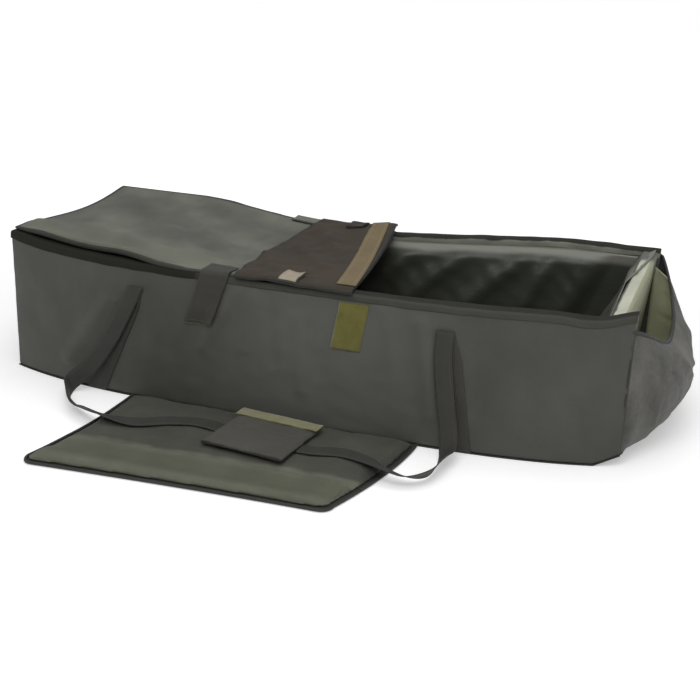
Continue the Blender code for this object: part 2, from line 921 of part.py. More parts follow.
HANDLE_OUT = LAY + WEBBING + SLACK + WEBBING / 2
MAT_TOP = MAT_EDGE + MAT_CROWN
STRAP_ON_MAT = MAT_TOP + SLACK + WEBBING / 2
ON_EDGE_LEFT = Vector((0.19, 0.16, -0.97))
TILTED_LEFT = Vector((0.36, 0.69, -0.62))
ON_EDGE_RIGHT = Vector((-0.54, 0.06, -0.84))


def front_handle():
    """The loop drops from its anchors over the base, and lies on the kneeling mat."""
    def wall(x, height, out, lean):
        return strap_on_wall(-1, x, height, HANDLE_OUT + out, lean)

    def turned(place_and_width):
        place, wide = place_and_width
        return place, -wide

    def lying(x, y, height, wide):
        return (Vector((x, y, height)), Vector(wide))

    top = STRAP_ON_MAT
    route = [
        wall(-ANCHOR_X - 0.004, ANCHOR_HEIGHT, 0, 0),
        wall(-0.300, 0.165, 0.002, 0.50),
        wall(-0.337, 0.103, 0.005, 0.58),
        wall(-0.377, 0.050, 0.012, 0.70),
        lying(-0.394, -0.292, 0.018, (0.42, 0.18, -0.88)),
        lying(-0.372, -0.336, 0.0165, ON_EDGE_LEFT),
        lying(-0.336, -0.368, 0.0140, TILTED_LEFT),
        lying(-0.294, -0.392, 0.0215, TILTED_LEFT),
        lying(-0.254, -0.404, top + 0.0054, (0.10, 0.93, -0.30)),
        lying(-0.208, -0.401, top + 0.0018, (-0.30, 0.95, 0)),
        lying(-0.160, -0.372, top + 0.0006, (-0.42, 0.91, 0)),
        lying(-0.112, -0.357, top, (-0.02, 1.00, 0)),
        lying(-0.052, -0.368, top, (0.21, 0.98, 0)),
        lying(0.020, -0.382, top, (0.13, 0.99, 0)),
        lying(0.090, -0.386, top, (-0.05, 0.99, 0)),
        lying(0.140, -0.375, top, (-0.05, 0.99, 0)),
        lying(0.182, -0.386, top + 0.001, (0.25, 0.95, -0.12)),
        lying(0.218, -0.410, top + 0.004, (0.10, 0.93, -0.36)),
        lying(0.256, -0.412, 0.0150, (-0.05, 0.89, -0.45)),
        lying(0.284, -0.388, 0.0150, (-0.40, 0.52, -0.75)),
        lying(0.292, -0.346, 0.0165, ON_EDGE_RIGHT),
        lying(0.294, -0.312, 0.0170, (-0.82, 0, -0.57)),
        turned(wall(0.287, 0.042, 0.014, -0.10)),
        turned(wall(0.276, 0.103, 0.005, -0.10)),
        turned(wall(0.268, 0.165, 0.002, -0.12)),
        turned(wall(ANCHOR_X - 0.002, ANCHOR_HEIGHT, 0, 0)),
    ]
    webbing_loop("front_handle_loop", route, 2)


def back_handle():
    """The matching loop drops behind the tub and lies flat on the ground."""
    drop = ((ANCHOR_HEIGHT, 0), (0.12, 0.002), (0.045, 0.008))
    route = [strap_on_wall(1, -ANCHOR_X, height, HANDLE_OUT + out, 0) for height, out in drop]
    foot = on_wall(1, -ANCHOR_X, 0, HANDLE_OUT).y + 0.020
    on_ground = WEBBING / 2 + SLACK
    turns = 8
    for i in range(turns + 1):
        angle = math.pi * i / turns
        place = Vector((-ANCHOR_X * math.cos(angle), foot + BACK_LOOP_REACH * math.sin(angle), on_ground))
        wide = Vector((math.cos(angle) * BACK_LOOP_REACH, -math.sin(angle) * ANCHOR_X, 0))
        route.append((place, wide))
    for height, out in reversed(drop):
        place, wide = strap_on_wall(1, ANCHOR_X, height, HANDLE_OUT + out, 0)
        route.append((place, -wide))
    webbing_loop("back_handle_loop", route, 3)


def grip():
    """The padded wrap lies open on the front handle: two leaves and a strip of hook tape."""
    centre = Vector((*GRIP_CENTRE, 0))
    turn = Matrix.Translation(centre) @ Matrix.Rotation(GRIP_TURN, 4, "Z")
    foot = STRAP_ON_MAT + WEBBING / 2 + LAY
    half = GRIP_LENGTH / 2
    apart = SLACK

    def turned(point):
        return turn @ Vector(point)

    for name, near, far in (
        ("grip_rear_leaf", apart, GRIP_DEPTH / 2),
        ("grip_front_leaf", -GRIP_DEPTH / 2, -apart),
    ):
        bm = drawn_box((-half, near, foot), (half, far, foot + GRIP_PAD))
        made = finish(bm, name, "grip", turned)
        round_edges(made, GRIP_PAD * 0.35)
    rise = foot + GRIP_PAD + LAY
    margin = GRIP_PAD * 0.4
    bm = drawn_box(
        (-half + margin, GRIP_DEPTH / 2 - margin - GRIP_STRIP, rise),
        (half - margin, GRIP_DEPTH / 2 - margin, rise + TAPE),
    )
    finish(bm, "grip_hook_strip", "olive_loop", turned)


# Kneeling mat


def mat_rear_y():
    """The mat starts just in front of the bowed wall."""
    return settle((0, -HALF_WIDTH, 0)).y - MAT_TO_TUB


def mat_sides(y):
    """Left and right edges of the mat at a depth, with its front corners rounded."""
    forward = clamp((mat_rear_y() - y) / MAT_DEPTH)
    from_front = MAT_DEPTH * (1 - forward)
    inset = 0.0
    if from_front < MAT_CORNER:
        inset = MAT_CORNER - math.sqrt(max(0.0, MAT_CORNER**2 - (MAT_CORNER - from_front) ** 2))
    left = MAT_LEFT_X - MAT_LEFT_SKEW * forward**3 + inset
    right = MAT_RIGHT_X - MAT_RIGHT_SKEW * forward**1.7 - inset
    return left, right


def mat_lie(point):
    """The front half lies a little askew, further forward at its left."""
    x, y, z = point
    leftward = clamp((MAT_RIGHT_X - x) / (MAT_RIGHT_X - MAT_LEFT_X), 0, 1.1)
    forward = clamp((mat_rear_y() - MAT_FOLD - y) / (MAT_DEPTH - MAT_FOLD), 0, 1.1)
    return Vector((x, y - MAT_FRONT_SKEW * leftward**1.6 * forward, z))


def mat_height(side, forward, channels):
    """Top of a padded panel: crowned between its stitched lines, drawn down at its edges."""
    along = abs(math.sin(math.pi * channels * forward)) ** 0.55
    across = 1 - abs(2 * side - 1) ** 10
    return MAT_EDGE + MAT_CROWN * along * across


def pad_under(name, colour, across, along, place, low):
    """A solid pad whose top is a grid like a sheet's and whose underside is level."""
    bm = bmesh.new()
    bmesh.ops.create_grid(bm, x_segments=across, y_segments=along, size=0.5)
    for vertex in bm.verts:
        vertex.co = Vector(place(vertex.co.x + 0.5, vertex.co.y + 0.5))
    bmesh.ops.triangulate(bm, faces=bm.faces, quad_method="FIXED")
    made = bmesh.ops.extrude_face_region(bm, geom=bm.faces, use_keep_orig=True)
    for item in made["geom"]:
        if isinstance(item, bmesh.types.BMVert):
            item.co.z = low
    bmesh.ops.recalc_face_normals(bm, faces=bm.faces)
    return finish(bm, name, colour, mat_lie)


def mat_panel(name, first, last, channels, rows):
    """One half of the mat: cover, foam and backing between two depths from its rear edge."""
    rear = mat_rear_y()
    columns = 10

    def plan(side, forward):
        y = rear - between(first, last, forward)
        left, right = mat_sides(y)
        return between(left, right, side), y

    def cover(side, back):
        forward = 1 - back
        x, y = plan(side, forward)
        on_edge = side in (0, 1) or forward in (0, 1)
        return (x, y, 2 * WELT_RADIUS if on_edge else mat_height(side, forward, channels))

    sheet(f"mat_{name}_cover", "mat", columns, rows, cover, CLOTH, -1, mat_lie, at_bends=False, split=True)

    def backing(side, back):
        return (*plan(side, 1 - back), 0)

    sheet(f"mat_{name}_backing", "ground_sheet", columns, rows, backing, CLOTH, 1, mat_lie, at_bends=False)
    low = CLOTH + LAY
    margin = 0.007

    def fill(side, back):
        forward = 1 - back
        x, y = plan(side, forward)
        on_edge = side in (0, 1) or forward in (0, 1)
        if on_edge:
            y = clamp(y, rear - last + margin, rear - first - margin)
            left, right = mat_sides(y)
            return (clamp(between(left, right, side), left + margin, right - margin), y, low + SLACK)
        return (x, y, mat_height(side, forward, channels) - CLOTH - 2 * SLACK)

    pad_under(f"mat_{name}_foam", "foam", columns, rows, fill, low)


def mat_binding(name, first, last, front):
    """The bound edge of one half: a welt down both sides, and along the front of the front half."""
    rear = mat_rear_y()
    out = WELT_RADIUS + (MAT_FRONT_WELT_ROOM if front else MAT_REAR_WELT_ROOM)
    steps = 6
    side_route = []
    for i in range(steps + 1):
        y = rear - between(first, last - (MAT_CORNER if front else 0), i / steps)
        left, right = mat_sides(y)
        side_route.append((left - out, right + out, y))
    height = WELT_RADIUS + 0.0002
    if not front:
        for end, pick in (("left", 0), ("right", 1)):
            route = [Vector((point[pick], point[2], height)) for point in side_route]
            tube(f"mat_{name}_binding_{end}", "binding", route, WELT_RADIUS)
        return
    route = [Vector((point[0], point[2], height)) for point in side_route]
    corner_y = rear - last + MAT_CORNER
    reach = MAT_CORNER + out
    turns = 6
    across = 6
    left, right = side_route[-1][0] + reach, side_route[-1][1] - reach
    for i in range(1, turns + 1):
        angle = math.pi / 2 * i / turns
        route.append(Vector((left - reach * math.cos(angle), corner_y - reach * math.sin(angle), height)))
    for i in range(1, across):
        route.append(Vector((between(left, right, i / across), corner_y - reach, height)))
    for i in range(turns + 1):
        angle = math.pi / 2 * (1 - i / turns)
        route.append(Vector((right + reach * math.cos(angle), corner_y - reach * math.sin(angle), height)))
    route += [Vector((point[1], point[2], height)) for point in reversed(side_route[:-1])]
    tube(f"mat_{name}_binding", "binding", [mat_lie(point) for point in route], WELT_RADIUS)


def kneeling_mat():
    mat_panel("rear", 0, MAT_FOLD - MAT_FOLD_GAP / 2, 1, 8)
    mat_panel("front", MAT_FOLD + MAT_FOLD_GAP / 2, MAT_DEPTH, 2, 12)
    mat_binding("rear", 0, MAT_FOLD - MAT_FOLD_GAP / 2, False)
    mat_binding("front", MAT_FOLD + MAT_FOLD_GAP / 2, MAT_DEPTH, True)


# Joints: an empty on each axis carries the pieces that move on it


def hang_on(name, place, pieces, parent=None):
    """An empty on a joint's axis, as the parent of the named pieces."""
    axis = bpy.data.objects.new(name, None)
    axis.location = place
    axis.empty_display_size = 0.03
    parts.objects.link(axis)
    bpy.context.view_layer.update()
    if parent:
        axis.parent = parent
        axis.matrix_parent_inverse = parent.matrix_world.inverted()
    bpy.context.view_layer.update()
    for piece in pieces:
        child = parts.objects[piece]
        child.parent = axis
        child.matrix_parent_inverse = axis.matrix_world.inverted()
    return axis


def joint_axes():
    lid_axis = hang_on(
        "lid_axis",
        (LID_AXIS_X, 0, HEIGHT + LID_STACK + CLOTH),
        ["lid_lining", "lid_panel", "lid_front_strap_root", "lid_back_strap_root"],
    )
    flap_axis = hang_on(
        "flap_axis",
        (FOLD_X, settle((FOLD_X, 0, 0)).y, rim_height(FOLD_X, -HALF_WIDTH) + FLAP_AXIS_RISE),
        ["flap_panel", "flap_lining", "flap_cross_band"],
        lid_axis,
    )
    for side, name in ((-1, "front"), (1, "back")):
        edge = bow_only((tab_x(side), side * (HALF_WIDTH + FLAP_OVERHANG), 0)).y
        hang_on(
            f"flap_{name}_tab_axis",
            (tab_x(side), edge, tab_base(side)),
            [f"flap_{name}_tab", f"flap_{name}_tab_hook"],
            flap_axis,
        )
        hang_on(
            f"lid_{name}_strap_axis",
            strap_axis(side),
            [f"lid_{name}_strap", f"lid_{name}_strap_hook"],
            lid_axis,
        )
    anchor = on_wall(-1, ANCHOR_X, ANCHOR_HEIGHT, HANDLE_OUT)
    front_axis = hang_on(
        "front_handle_axis",
        (0, anchor.y, anchor.z),
        ["front_handle_loop", "grip_rear_leaf", "grip_hook_strip"],
    )
    hinge = STRAP_ON_MAT + WEBBING / 2 + LAY + GRIP_PAD + LAY + TAPE
    hang_on("grip_axis", (*GRIP_CENTRE, hinge), ["grip_front_leaf"], front_axis)
    anchor = on_wall(1, ANCHOR_X, ANCHOR_HEIGHT, HANDLE_OUT)
    hang_on("back_handle_axis", (0, anchor.y, anchor.z), ["back_handle_loop"])
    rear = mat_rear_y()
    rear_pieces = [f"mat_rear_{piece}" for piece in ("cover", "foam", "backing", "binding_left", "binding_right")]
    mat = hang_on("mat_slide_axis", (0, rear, 0), rear_pieces)
    hang_on(
        "mat_fold_axis",
        (0, rear - MAT_FOLD, MAT_EDGE),
        [f"mat_front_{piece}" for piece in ("cover", "foam", "backing", "binding")],
        mat,
    )


def build():
    start_scene()
    ground_sheet()
    for side, name in ((-1, "front"), (1, "back")):
        side_wall(side, name)
    left_end()
    right_end()
    base_pad()
    liners()
    end_pocket()
    lid()
    flap()
    for side, name in ((-1, "front"), (1, "back")):
        flap_tab(side, name)
        closing_strap(side, name)
        loop_patches(side, name)
        sewn_webbing(side, name)
    front_handle()
    back_handle()
    grip()
    kneeling_mat()
    joint_axes()


build()
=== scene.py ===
# %% [markdown]
# # A carp cradle, dressed
# A carp cradle is a tub with foam walls in which a fish lies while it is unhooked. Its covers are coated polyester
# cloth, its inside is smooth wipe-clean cloth, and a padded mat for the angler's knees lies in front of it.
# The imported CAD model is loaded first. It stays the measure for every piece that follows.

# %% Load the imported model
import math

import bmesh
import bpy
import numpy as np
from mathutils import Matrix, Vector


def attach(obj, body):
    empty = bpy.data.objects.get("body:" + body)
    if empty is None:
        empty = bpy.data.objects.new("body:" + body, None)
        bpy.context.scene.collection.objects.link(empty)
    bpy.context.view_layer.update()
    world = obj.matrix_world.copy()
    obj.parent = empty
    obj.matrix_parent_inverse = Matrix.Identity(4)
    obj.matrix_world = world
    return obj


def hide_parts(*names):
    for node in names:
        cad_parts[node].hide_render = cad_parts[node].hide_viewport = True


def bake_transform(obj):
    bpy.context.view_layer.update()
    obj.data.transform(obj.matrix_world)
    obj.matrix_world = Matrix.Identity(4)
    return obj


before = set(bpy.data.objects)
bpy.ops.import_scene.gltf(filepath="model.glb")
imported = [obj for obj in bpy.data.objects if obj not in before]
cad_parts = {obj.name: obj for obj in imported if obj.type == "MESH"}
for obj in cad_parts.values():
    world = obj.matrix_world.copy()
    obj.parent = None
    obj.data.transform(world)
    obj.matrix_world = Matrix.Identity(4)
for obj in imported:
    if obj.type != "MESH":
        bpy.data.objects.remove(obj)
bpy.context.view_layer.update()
scene = bpy.context.scene

# %% [markdown]
# ## Camera and studio
# The camera stands where the photographer stood, a little to the right of the middle and 20 degrees above the floor.
# A long lens keeps the perspective mild. The picture is square, so one focal length in pixels gives the lens.

# %% Camera
PICTURE, SENSOR = 700, 36
FOCAL_PIXELS = 1171.47
CAMERA_PLACE = Vector((0.6601, -1.9588, 0.7971))
CAMERA_TURN, CAMERA_DOWN, CAMERA_ROLL = (math.radians(angle) for angle in (17.94, 20.04, 2.33))


def add_camera():
    data = bpy.data.cameras.new("photo_camera")
    data.sensor_width = SENSOR
    data.lens = SENSOR * FOCAL_PIXELS / PICTURE
    camera = bpy.data.objects.new("photo_camera", data)
    aimed = Matrix.Rotation(CAMERA_TURN, 4, "Z") @ Matrix.Rotation(math.pi / 2 - CAMERA_DOWN, 4, "X")
    camera.matrix_world = Matrix.Translation(CAMERA_PLACE) @ aimed @ Matrix.Rotation(CAMERA_ROLL, 4, "Z")
    scene.collection.objects.link(camera)
    scene.camera = camera
    return camera


camera = add_camera()
scene.view_settings.view_transform = "Standard"
print("lens", round(camera.data.lens, 2), "mm")

# %% [markdown]
# ## Writing materials as sums
# A finish is easier to read as arithmetic than as a picture of nodes. The class Number wraps one output of a node, so
# that height = weave * 0.4 + creases adds the Math nodes by itself. Finish holds one material and makes its nodes.

# %% Numbers that change over a surface


class Number:
    """A number that changes over a surface."""

    def __init__(self, finish, socket):
        self.finish = finish
        self.socket = socket

    def made(self, operation, *values):
        node = self.finish.node("ShaderNodeMath", {"operation": operation}, values)
        return Number(self.finish, node.outputs[0])

    def __add__(self, other):
        return self.made("ADD", self, other)

    def __sub__(self, other):
        return self.made("SUBTRACT", self, other)

    def __rsub__(self, other):
        return self.made("SUBTRACT", other, self)

    def __mul__(self, other):
        return self.made("MULTIPLY", self, other)

    def __lt__(self, other):
        return self.made("LESS_THAN", self, other)

    def __gt__(self, other):
        return self.made("GREATER_THAN", self, other)

    def __abs__(self):
        return self.made("ABSOLUTE", self)

    def wave(self, length):
        """A sine from -1 to 1 that repeats over this length."""
        return self.made("SINE", self * (2 * math.pi / length))

    def share(self, low, high):
        """0 below low, 1 above high and smooth between them."""
        settings = {"interpolation_type": "SMOOTHSTEP"}
        node = self.finish.node("ShaderNodeMapRange", settings, {"Value": self, "From Min": low, "From Max": high})
        return Number(self.finish, node.outputs["Result"])


print("Number wraps one output of a node")

# %% Colours and finishes


def linear(value):
    """A screen value from 0 to 255 as linear light."""
    share = value / 255
    return share / 12.92 if share < 0.04045 else ((share + 0.055) / 1.055) ** 2.4


def grey(value):
    return (value, value, value, 1)


class Finish:
    """One material and the nodes that make it."""

    def __init__(self, name):
        self.material = bpy.data.materials.new(name)
        self.material.use_nodes = True
        self.tree = self.material.node_tree
        self.shader = self.tree.nodes["Principled BSDF"]
        self.carried = {}

    def node(self, kind, settings=None, sockets=()):
        made = self.tree.nodes.new(kind)
        for name, value in (settings or {}).items():
            setattr(made, name, value)
        for key, value in sockets.items() if isinstance(sockets, dict) else enumerate(sockets):
            self.feed(made.inputs[key], value)
        return made

    def feed(self, socket, value):
        value = value.socket if isinstance(value, Number) else value
        if isinstance(value, bpy.types.NodeSocket):
            self.tree.links.new(socket, value)
        else:
            socket.default_value = value

    def from_mesh(self, name, output):
        """What the mesh carries: the place on the cloth in metres, or the distance to the hem."""
        if name not in self.carried:
            self.carried[name] = self.node("ShaderNodeAttribute", {"attribute_name": name})
        return self.carried[name].outputs[output]

    def hem(self):
        return Number(self, self.from_mesh("hem", "Fac"))

    def threads(self):
        """The distances along the cloth and across it."""
        node = self.node("ShaderNodeSeparateXYZ", None, [self.from_mesh("cloth", "Vector")])
        return Number(self, node.outputs[0]), Number(self, node.outputs[1])

    def noise(self, size, detail=2.0, rough=0.5, stretch=(1, 1, 1)):
        """Uneven patches of about this size in metres, from 0 to 1."""
        place = [self.from_mesh("cloth", "Vector"), stretch]
        turned = self.node("ShaderNodeVectorMath", {"operation": "MULTIPLY"}, place)
        sockets = {"Vector": turned.outputs[0], "Scale": 1 / size, "Detail": detail, "Roughness": rough}
        return Number(self, self.node("ShaderNodeTexNoise", None, sockets).outputs[0])

    def mixed(self, first, second, share, how="MIX"):
        """Two colours mixed. A colour is a socket, three screen values or four linear ones."""
        shades = [
            (*map(linear, shade), 1) if isinstance(shade, tuple) and len(shade) == 3 else shade
            for shade in (first, second)
        ]
        settings = {"data_type": "RGBA", "blend_type": how}
        return self.node("ShaderNodeMix", settings, {0: share, 6: shades[0], 7: shades[1]}).outputs[2]

    def darkened(self, tint, factors, share):
        return self.mixed(tint, (*factors, 1), share, "MULTIPLY")

    def raised(self, height, depth, under=None):
        """A bump: height times depth in metres, on top of another bump."""
        sockets = {"Height": height, "Distance": depth, "Strength": 1.0}
        if under:
            sockets["Normal"] = under
        return self.node("ShaderNodeBump", None, sockets).outputs[0]

    def surface(self, **sockets):
        for name, value in sockets.items():
            self.feed(self.shader.inputs[name.replace("_", " ")], value)
        return self.material


print("screen grey 128 is", round(linear(128), 3), "in linear light")

# %% [markdown]
# ## Floor and light
# The photograph has a white background with hardly a shadow. The floor is a pale sheet. It shines only towards the
# camera, so it turns white in the picture without throwing more light on the tub, and a soft shadow still shows.

# %% Floor and lamps
FLOOR_HALF, FLOOR_DROP = 9.0, 0.0006
WORLD_LIGHT = 0.36


def floor_paper():
    finish = Finish("floor_paper")
    place = finish.node("ShaderNodeTexCoord").outputs["Object"]
    grain = Number(finish, finish.node("ShaderNodeTexNoise", None, {"Vector": place, "Scale": 4}).outputs[0])
    tint = finish.mixed(grey(0.86), grey(0.9), grain)
    away = Number(finish, finish.node("ShaderNodeVectorMath", {"operation": "LENGTH"}, [place]).outputs["Value"])
    white = finish.mixed(grey(0.34), grey(0.9), away.share(0.7, 2.2))
    rays = finish.node("ShaderNodeLightPath")
    kinds = ("Camera", "Glossy", "Transmission")
    camera_ray, gloss, glass = (Number(finish, rays.outputs[f"Is {kind} Ray"]) for kind in kinds)
    seen = camera_ray + gloss + glass
    glow = finish.mixed(grey(0), white, seen.made("MINIMUM", seen, 1))
    return finish.surface(Base_Color=tint, Roughness=0.9, Emission_Color=glow, Emission_Strength=1.0)


def add_floor():
    bm = bmesh.new()
    bmesh.ops.create_grid(bm, x_segments=8, y_segments=8, size=FLOOR_HALF)
    mesh = bpy.data.meshes.new("floor")
    bm.to_mesh(mesh)
    bm.free()
    floor = bpy.data.objects.new("floor", mesh)
    floor.location.z = -FLOOR_DROP
    mesh.materials.append(floor_paper())
    scene.collection.objects.link(floor)


def add_world():
    world = scene.world = bpy.data.worlds.new("studio")
    world.use_nodes = True
    tree = world.node_tree
    rays = tree.nodes.new("ShaderNodeLightPath")
    pick = tree.nodes.new("ShaderNodeMix")
    pick.data_type = "RGBA"
    pick.inputs[6].default_value = (WORLD_LIGHT, WORLD_LIGHT, WORLD_LIGHT * 1.02, 1)
    pick.inputs[7].default_value = grey(1)
    tree.links.new(pick.inputs[0], rays.outputs["Is Camera Ray"])
    tree.links.new(tree.nodes["Background"].inputs[0], pick.outputs[2])


def add_lamp(name, place, target, size, power):
    data = bpy.data.lights.new(name, "AREA")
    data.shape = "SQUARE"
    data.size = size
    data.energy = power
    lamp = bpy.data.objects.new(name, data)
    lamp.location = place
    lamp.rotation_mode = "QUATERNION"
    lamp.rotation_quaternion = (Vector(target) - Vector(place)).to_track_quat("-Z", "Y")
    scene.collection.objects.link(lamp)


add_floor()
add_world()
add_lamp("soft_box_above", (0.3, 0.2, 2.8), (0, -0.1, 0), 2.2, 22)
add_lamp("soft_box_front", (0.3, -2.1, 2.3), (0, -0.1, 0.1), 1.8, 34)
add_lamp("soft_box_right", (2.6, -1.6, 1.5), (0.3, 0, 0.1), 1.4, 7)
print("world light", WORLD_LIGHT)

# %% [markdown]
# ## The shape that everything follows
# Filled foam walls lean and bow, and every layer of cloth leans with them. Each piece is therefore drawn straight and
# then bent by one function. The sizes are those of the CAD model, and the curves here are smooth.

# %% Sizes and the bent tub
LENGTH, WIDTH, HEIGHT, WALL = 1.104, 0.425, 0.255, 0.025
FRONT_BOW, BACK_BOW = 0.055, 0.040
FRONT_SAG, BACK_SAG = 0.012, 0.020
RIGHT_DIP, RIGHT_DIP_X, RIGHT_DIP_REACH = 0.009, 0.495, 0.045
BACK_DIP_X, BACK_DIP_LEFT, BACK_DIP_RIGHT = -0.050, 0.31, 0.45
LEFT_DIP, LEFT_DIP_FADE = 0.013, 0.080
CORNER_LIFT, CORNER_START = 0.018, 0.56
END_LEAN, END_SKEW = 0.025, 0.012
CLOTH, COVER, TAPE, WEBBING = 0.0012, 0.0015, 0.0010, 0.0016
LAY, SLACK, BINDING = 0.0004, 0.0006, 0.0012
HALF_LENGTH, HALF_WIDTH = LENGTH / 2, WIDTH / 2
INNER_Y = HALF_WIDTH - WALL
FOOT = COVER + LAY
END_OUTER_X = HALF_LENGTH - 0.039
END_INNER_X = END_OUTER_X - 0.028
LEFT_INNER_X = -HALF_LENGTH + WALL
FLOOR_PAD = 0.0215
FLOOR_TOP = FOOT + FLOOR_PAD
LINER_FOOT = FLOOR_TOP + LAY + CLOTH + SLACK
BINDING_DROP = 0.012
LINER_TOP = HEIGHT - BINDING_DROP - SLACK


def clamp(value, low=0.0, high=1.0):
    return np.clip(value, low, high)


def between(first, last, share):
    return first + (last - first) * share


def smooth(share):
    share = clamp(share)
    return share * share * (3 - 2 * share)


def hump(share):
    """A half wave: 0 at 0 and 1, and 1 halfway."""
    return np.maximum(np.sin(np.pi * share), 0)


def bell(away, reach):
    return np.exp(-((away / reach) ** 2))


def front_share(x):
    """How much of its bow and sag the front wall has along the tub."""
    return 1 - clamp(np.abs(x) / HALF_LENGTH) ** 4


def back_share(x):
    apart = x - BACK_DIP_X
    reach = np.where(apart > 0, BACK_DIP_RIGHT, BACK_DIP_LEFT)
    return np.maximum(np.cos(np.pi / 2 * clamp(np.abs(apart) / reach)), 0) ** 1.4


def left_dip(x, y):
    along = clamp((LEFT_INNER_X + LEFT_DIP_FADE - x) / LEFT_DIP_FADE)
    return LEFT_DIP * along * hump(clamp((y + INNER_Y) / (2 * INNER_Y)) ** 1.4)


def corner_lift(x, y):
    along = clamp((x - END_OUTER_X) / (HALF_LENGTH - END_OUTER_X))
    start = HALF_WIDTH * CORNER_START
    return CORNER_LIFT * clamp(along + clamp((-y - start) / (INNER_Y - start)) - 1)


def rim_drop(x, y):
    across = clamp((y + HALF_WIDTH) / WIDTH)
    front = FRONT_SAG * front_share(x) + RIGHT_DIP * bell(x - RIGHT_DIP_X, RIGHT_DIP_REACH)
    return between(front, BACK_SAG * back_share(x), across) + left_dip(x, y)


def leaned(x, y):
    """Where a place of the straight plan stands once the walls lean."""
    return y - between(FRONT_BOW * front_share(x), BACK_BOW * back_share(x), (y + HALF_WIDTH) / WIDTH)


def settle(x, y, z):
    """Moves points of the straight tub to where the filled, leaning tub has them."""
    rise = z / HEIGHT
    return x, leaned(x, y), z - rim_drop(x, y) * rise + corner_lift(x, y) * (1 - rise)


def settle_end(x, y, z):
    """The padded right end leans out at its top and stands a little askew."""
    return settle(x + END_LEAN * z / HEIGHT + END_SKEW * (y + HALF_WIDTH) / WIDTH, y, z)


def in_plan(x, y, z):
    """Follows the leaning walls in plan and keeps the height as it is."""
    return x, leaned(x, y), z


print("front wall bows out", FRONT_BOW, "m and its rim sags", FRONT_SAG, "m")

# %% [markdown]
# ## Making cloth
# Cloth is a grid of points, and a function says where each point lies. The grid also carries two facts for the
# finishes: the place on the cloth in metres, so that a weave keeps its size, and the distance to the nearest hem.
# A boxy padded piece is a closed grid with rounded edges, so that it can swell and crease like a filled sleeve.
# Sewing a piece on attaches it to the body it moves with and hides the CAD solids it stands for.

# %% Grids of points
OWN_PATTERN = 0.37
made_pieces = []


def steps(count):
    return np.linspace(0, 1, count + 1)


def as_points(places):
    return np.stack(np.broadcast_arrays(*places), axis=-1).astype(float)


def unit(vectors):
    return vectors / np.maximum(np.linalg.norm(vectors, axis=-1, keepdims=True), 1e-9)


def quads(index):
    """The faces of a grid of numbered points."""
    return np.stack([index[:-1, :-1], index[1:, :-1], index[1:, 1:], index[:-1, 1:]], axis=-1).reshape(-1, 4)


def carry(mesh, cloth, hem):
    """Writes each point's place on the cloth and its distance to the hem."""
    for name, kind, field, values in (("cloth", "FLOAT_VECTOR", "vector", cloth), ("hem", "FLOAT", "value", hem)):
        if name not in mesh.attributes:
            mesh.attributes.new(name, kind, "POINT")
        flat = np.ascontiguousarray(values, dtype=np.float32).ravel()
        mesh.attributes[name].data.foreach_set(field, flat)


def finish_mesh(name, points, faces, cloth, hem, material, thickness=0.0):
    mesh = bpy.data.meshes.new(name)
    mesh.from_pydata(points.tolist(), [], faces.tolist())
    carry(mesh, cloth, hem)
    mesh.shade_smooth()
    piece = bpy.data.objects.new(name, mesh)
    scene.collection.objects.link(piece)
    mesh.materials.append(material)
    if thickness:
        solidify = piece.modifiers.new("Cloth thickness", "SOLIDIFY")
        solidify.thickness = abs(thickness)
        solidify.offset = math.copysign(1, thickness)
    made_pieces.append(piece)
    return piece


def lengths(points, axis):
    """Distance along the grid's lines, from their first point."""
    gaps = np.linalg.norm(np.diff(points, axis=axis), axis=-1)
    start = np.zeros_like(gaps.take([0], axis=axis))
    return np.concatenate([start, np.cumsum(gaps, axis=axis)], axis=axis)


print("a grid of 3 by 4 points has", len(quads(np.arange(12).reshape(3, 4))), "faces")

# %% Sheets of cloth


def sheet_of_cloth(name, place, along, across, material, thickness=CLOTH, facing=(0, 0, 1), hems="all"):
    """A sheet: place turns two shares, along and across it, into points. A positive thickness grows outward."""
    along, across = (steps(lines) if isinstance(lines, int) else lines for lines in (along, across))
    u, v = np.meshgrid(along, across, indexing="ij")
    points = as_points(place(u, v))
    faces = quads(np.arange(u.size).reshape(u.shape))
    down, over = lengths(points, 0), lengths(points, 1)
    down_back, over_back = down[-1:] - down, over[:, -1:] - over
    sides = {
        "all": [down, down_back, over, over_back],
        "long": [over, over_back],
        "ends": [down, down_back],
        "last": [over_back],
    }[hems]
    if facing is not None:
        one, two = points[1:, :-1] - points[:-1, :-1], points[:-1, 1:] - points[:-1, :-1]
        if np.cross(one, two).reshape(-1, 3).sum(axis=0) @ np.array(facing) < 0:
            faces = faces[:, ::-1]
    cloth = as_points([down, over, len(made_pieces) * OWN_PATTERN])
    hem = np.minimum.reduce(np.broadcast_arrays(*sides))
    flat = (points.reshape(-1, 3), faces, cloth.reshape(-1, 3), hem.reshape(-1))
    return finish_mesh(name, *flat, material, thickness)


print("cloth is", CLOTH, "m thick")

# %% Padded boards


def grid_lines(low, high, step, round_by):
    """Places of the lines between two ends: close together on the rounded edges."""
    inner = max(2, round((high - low - 2 * round_by) / step))
    edge = [round_by * share for share in (0, 0.3, 0.65)]
    middle = np.linspace(low + round_by, high - round_by, inner + 1)
    return np.array([*(low + e for e in edge), *middle, *(high - e for e in reversed(edge))])


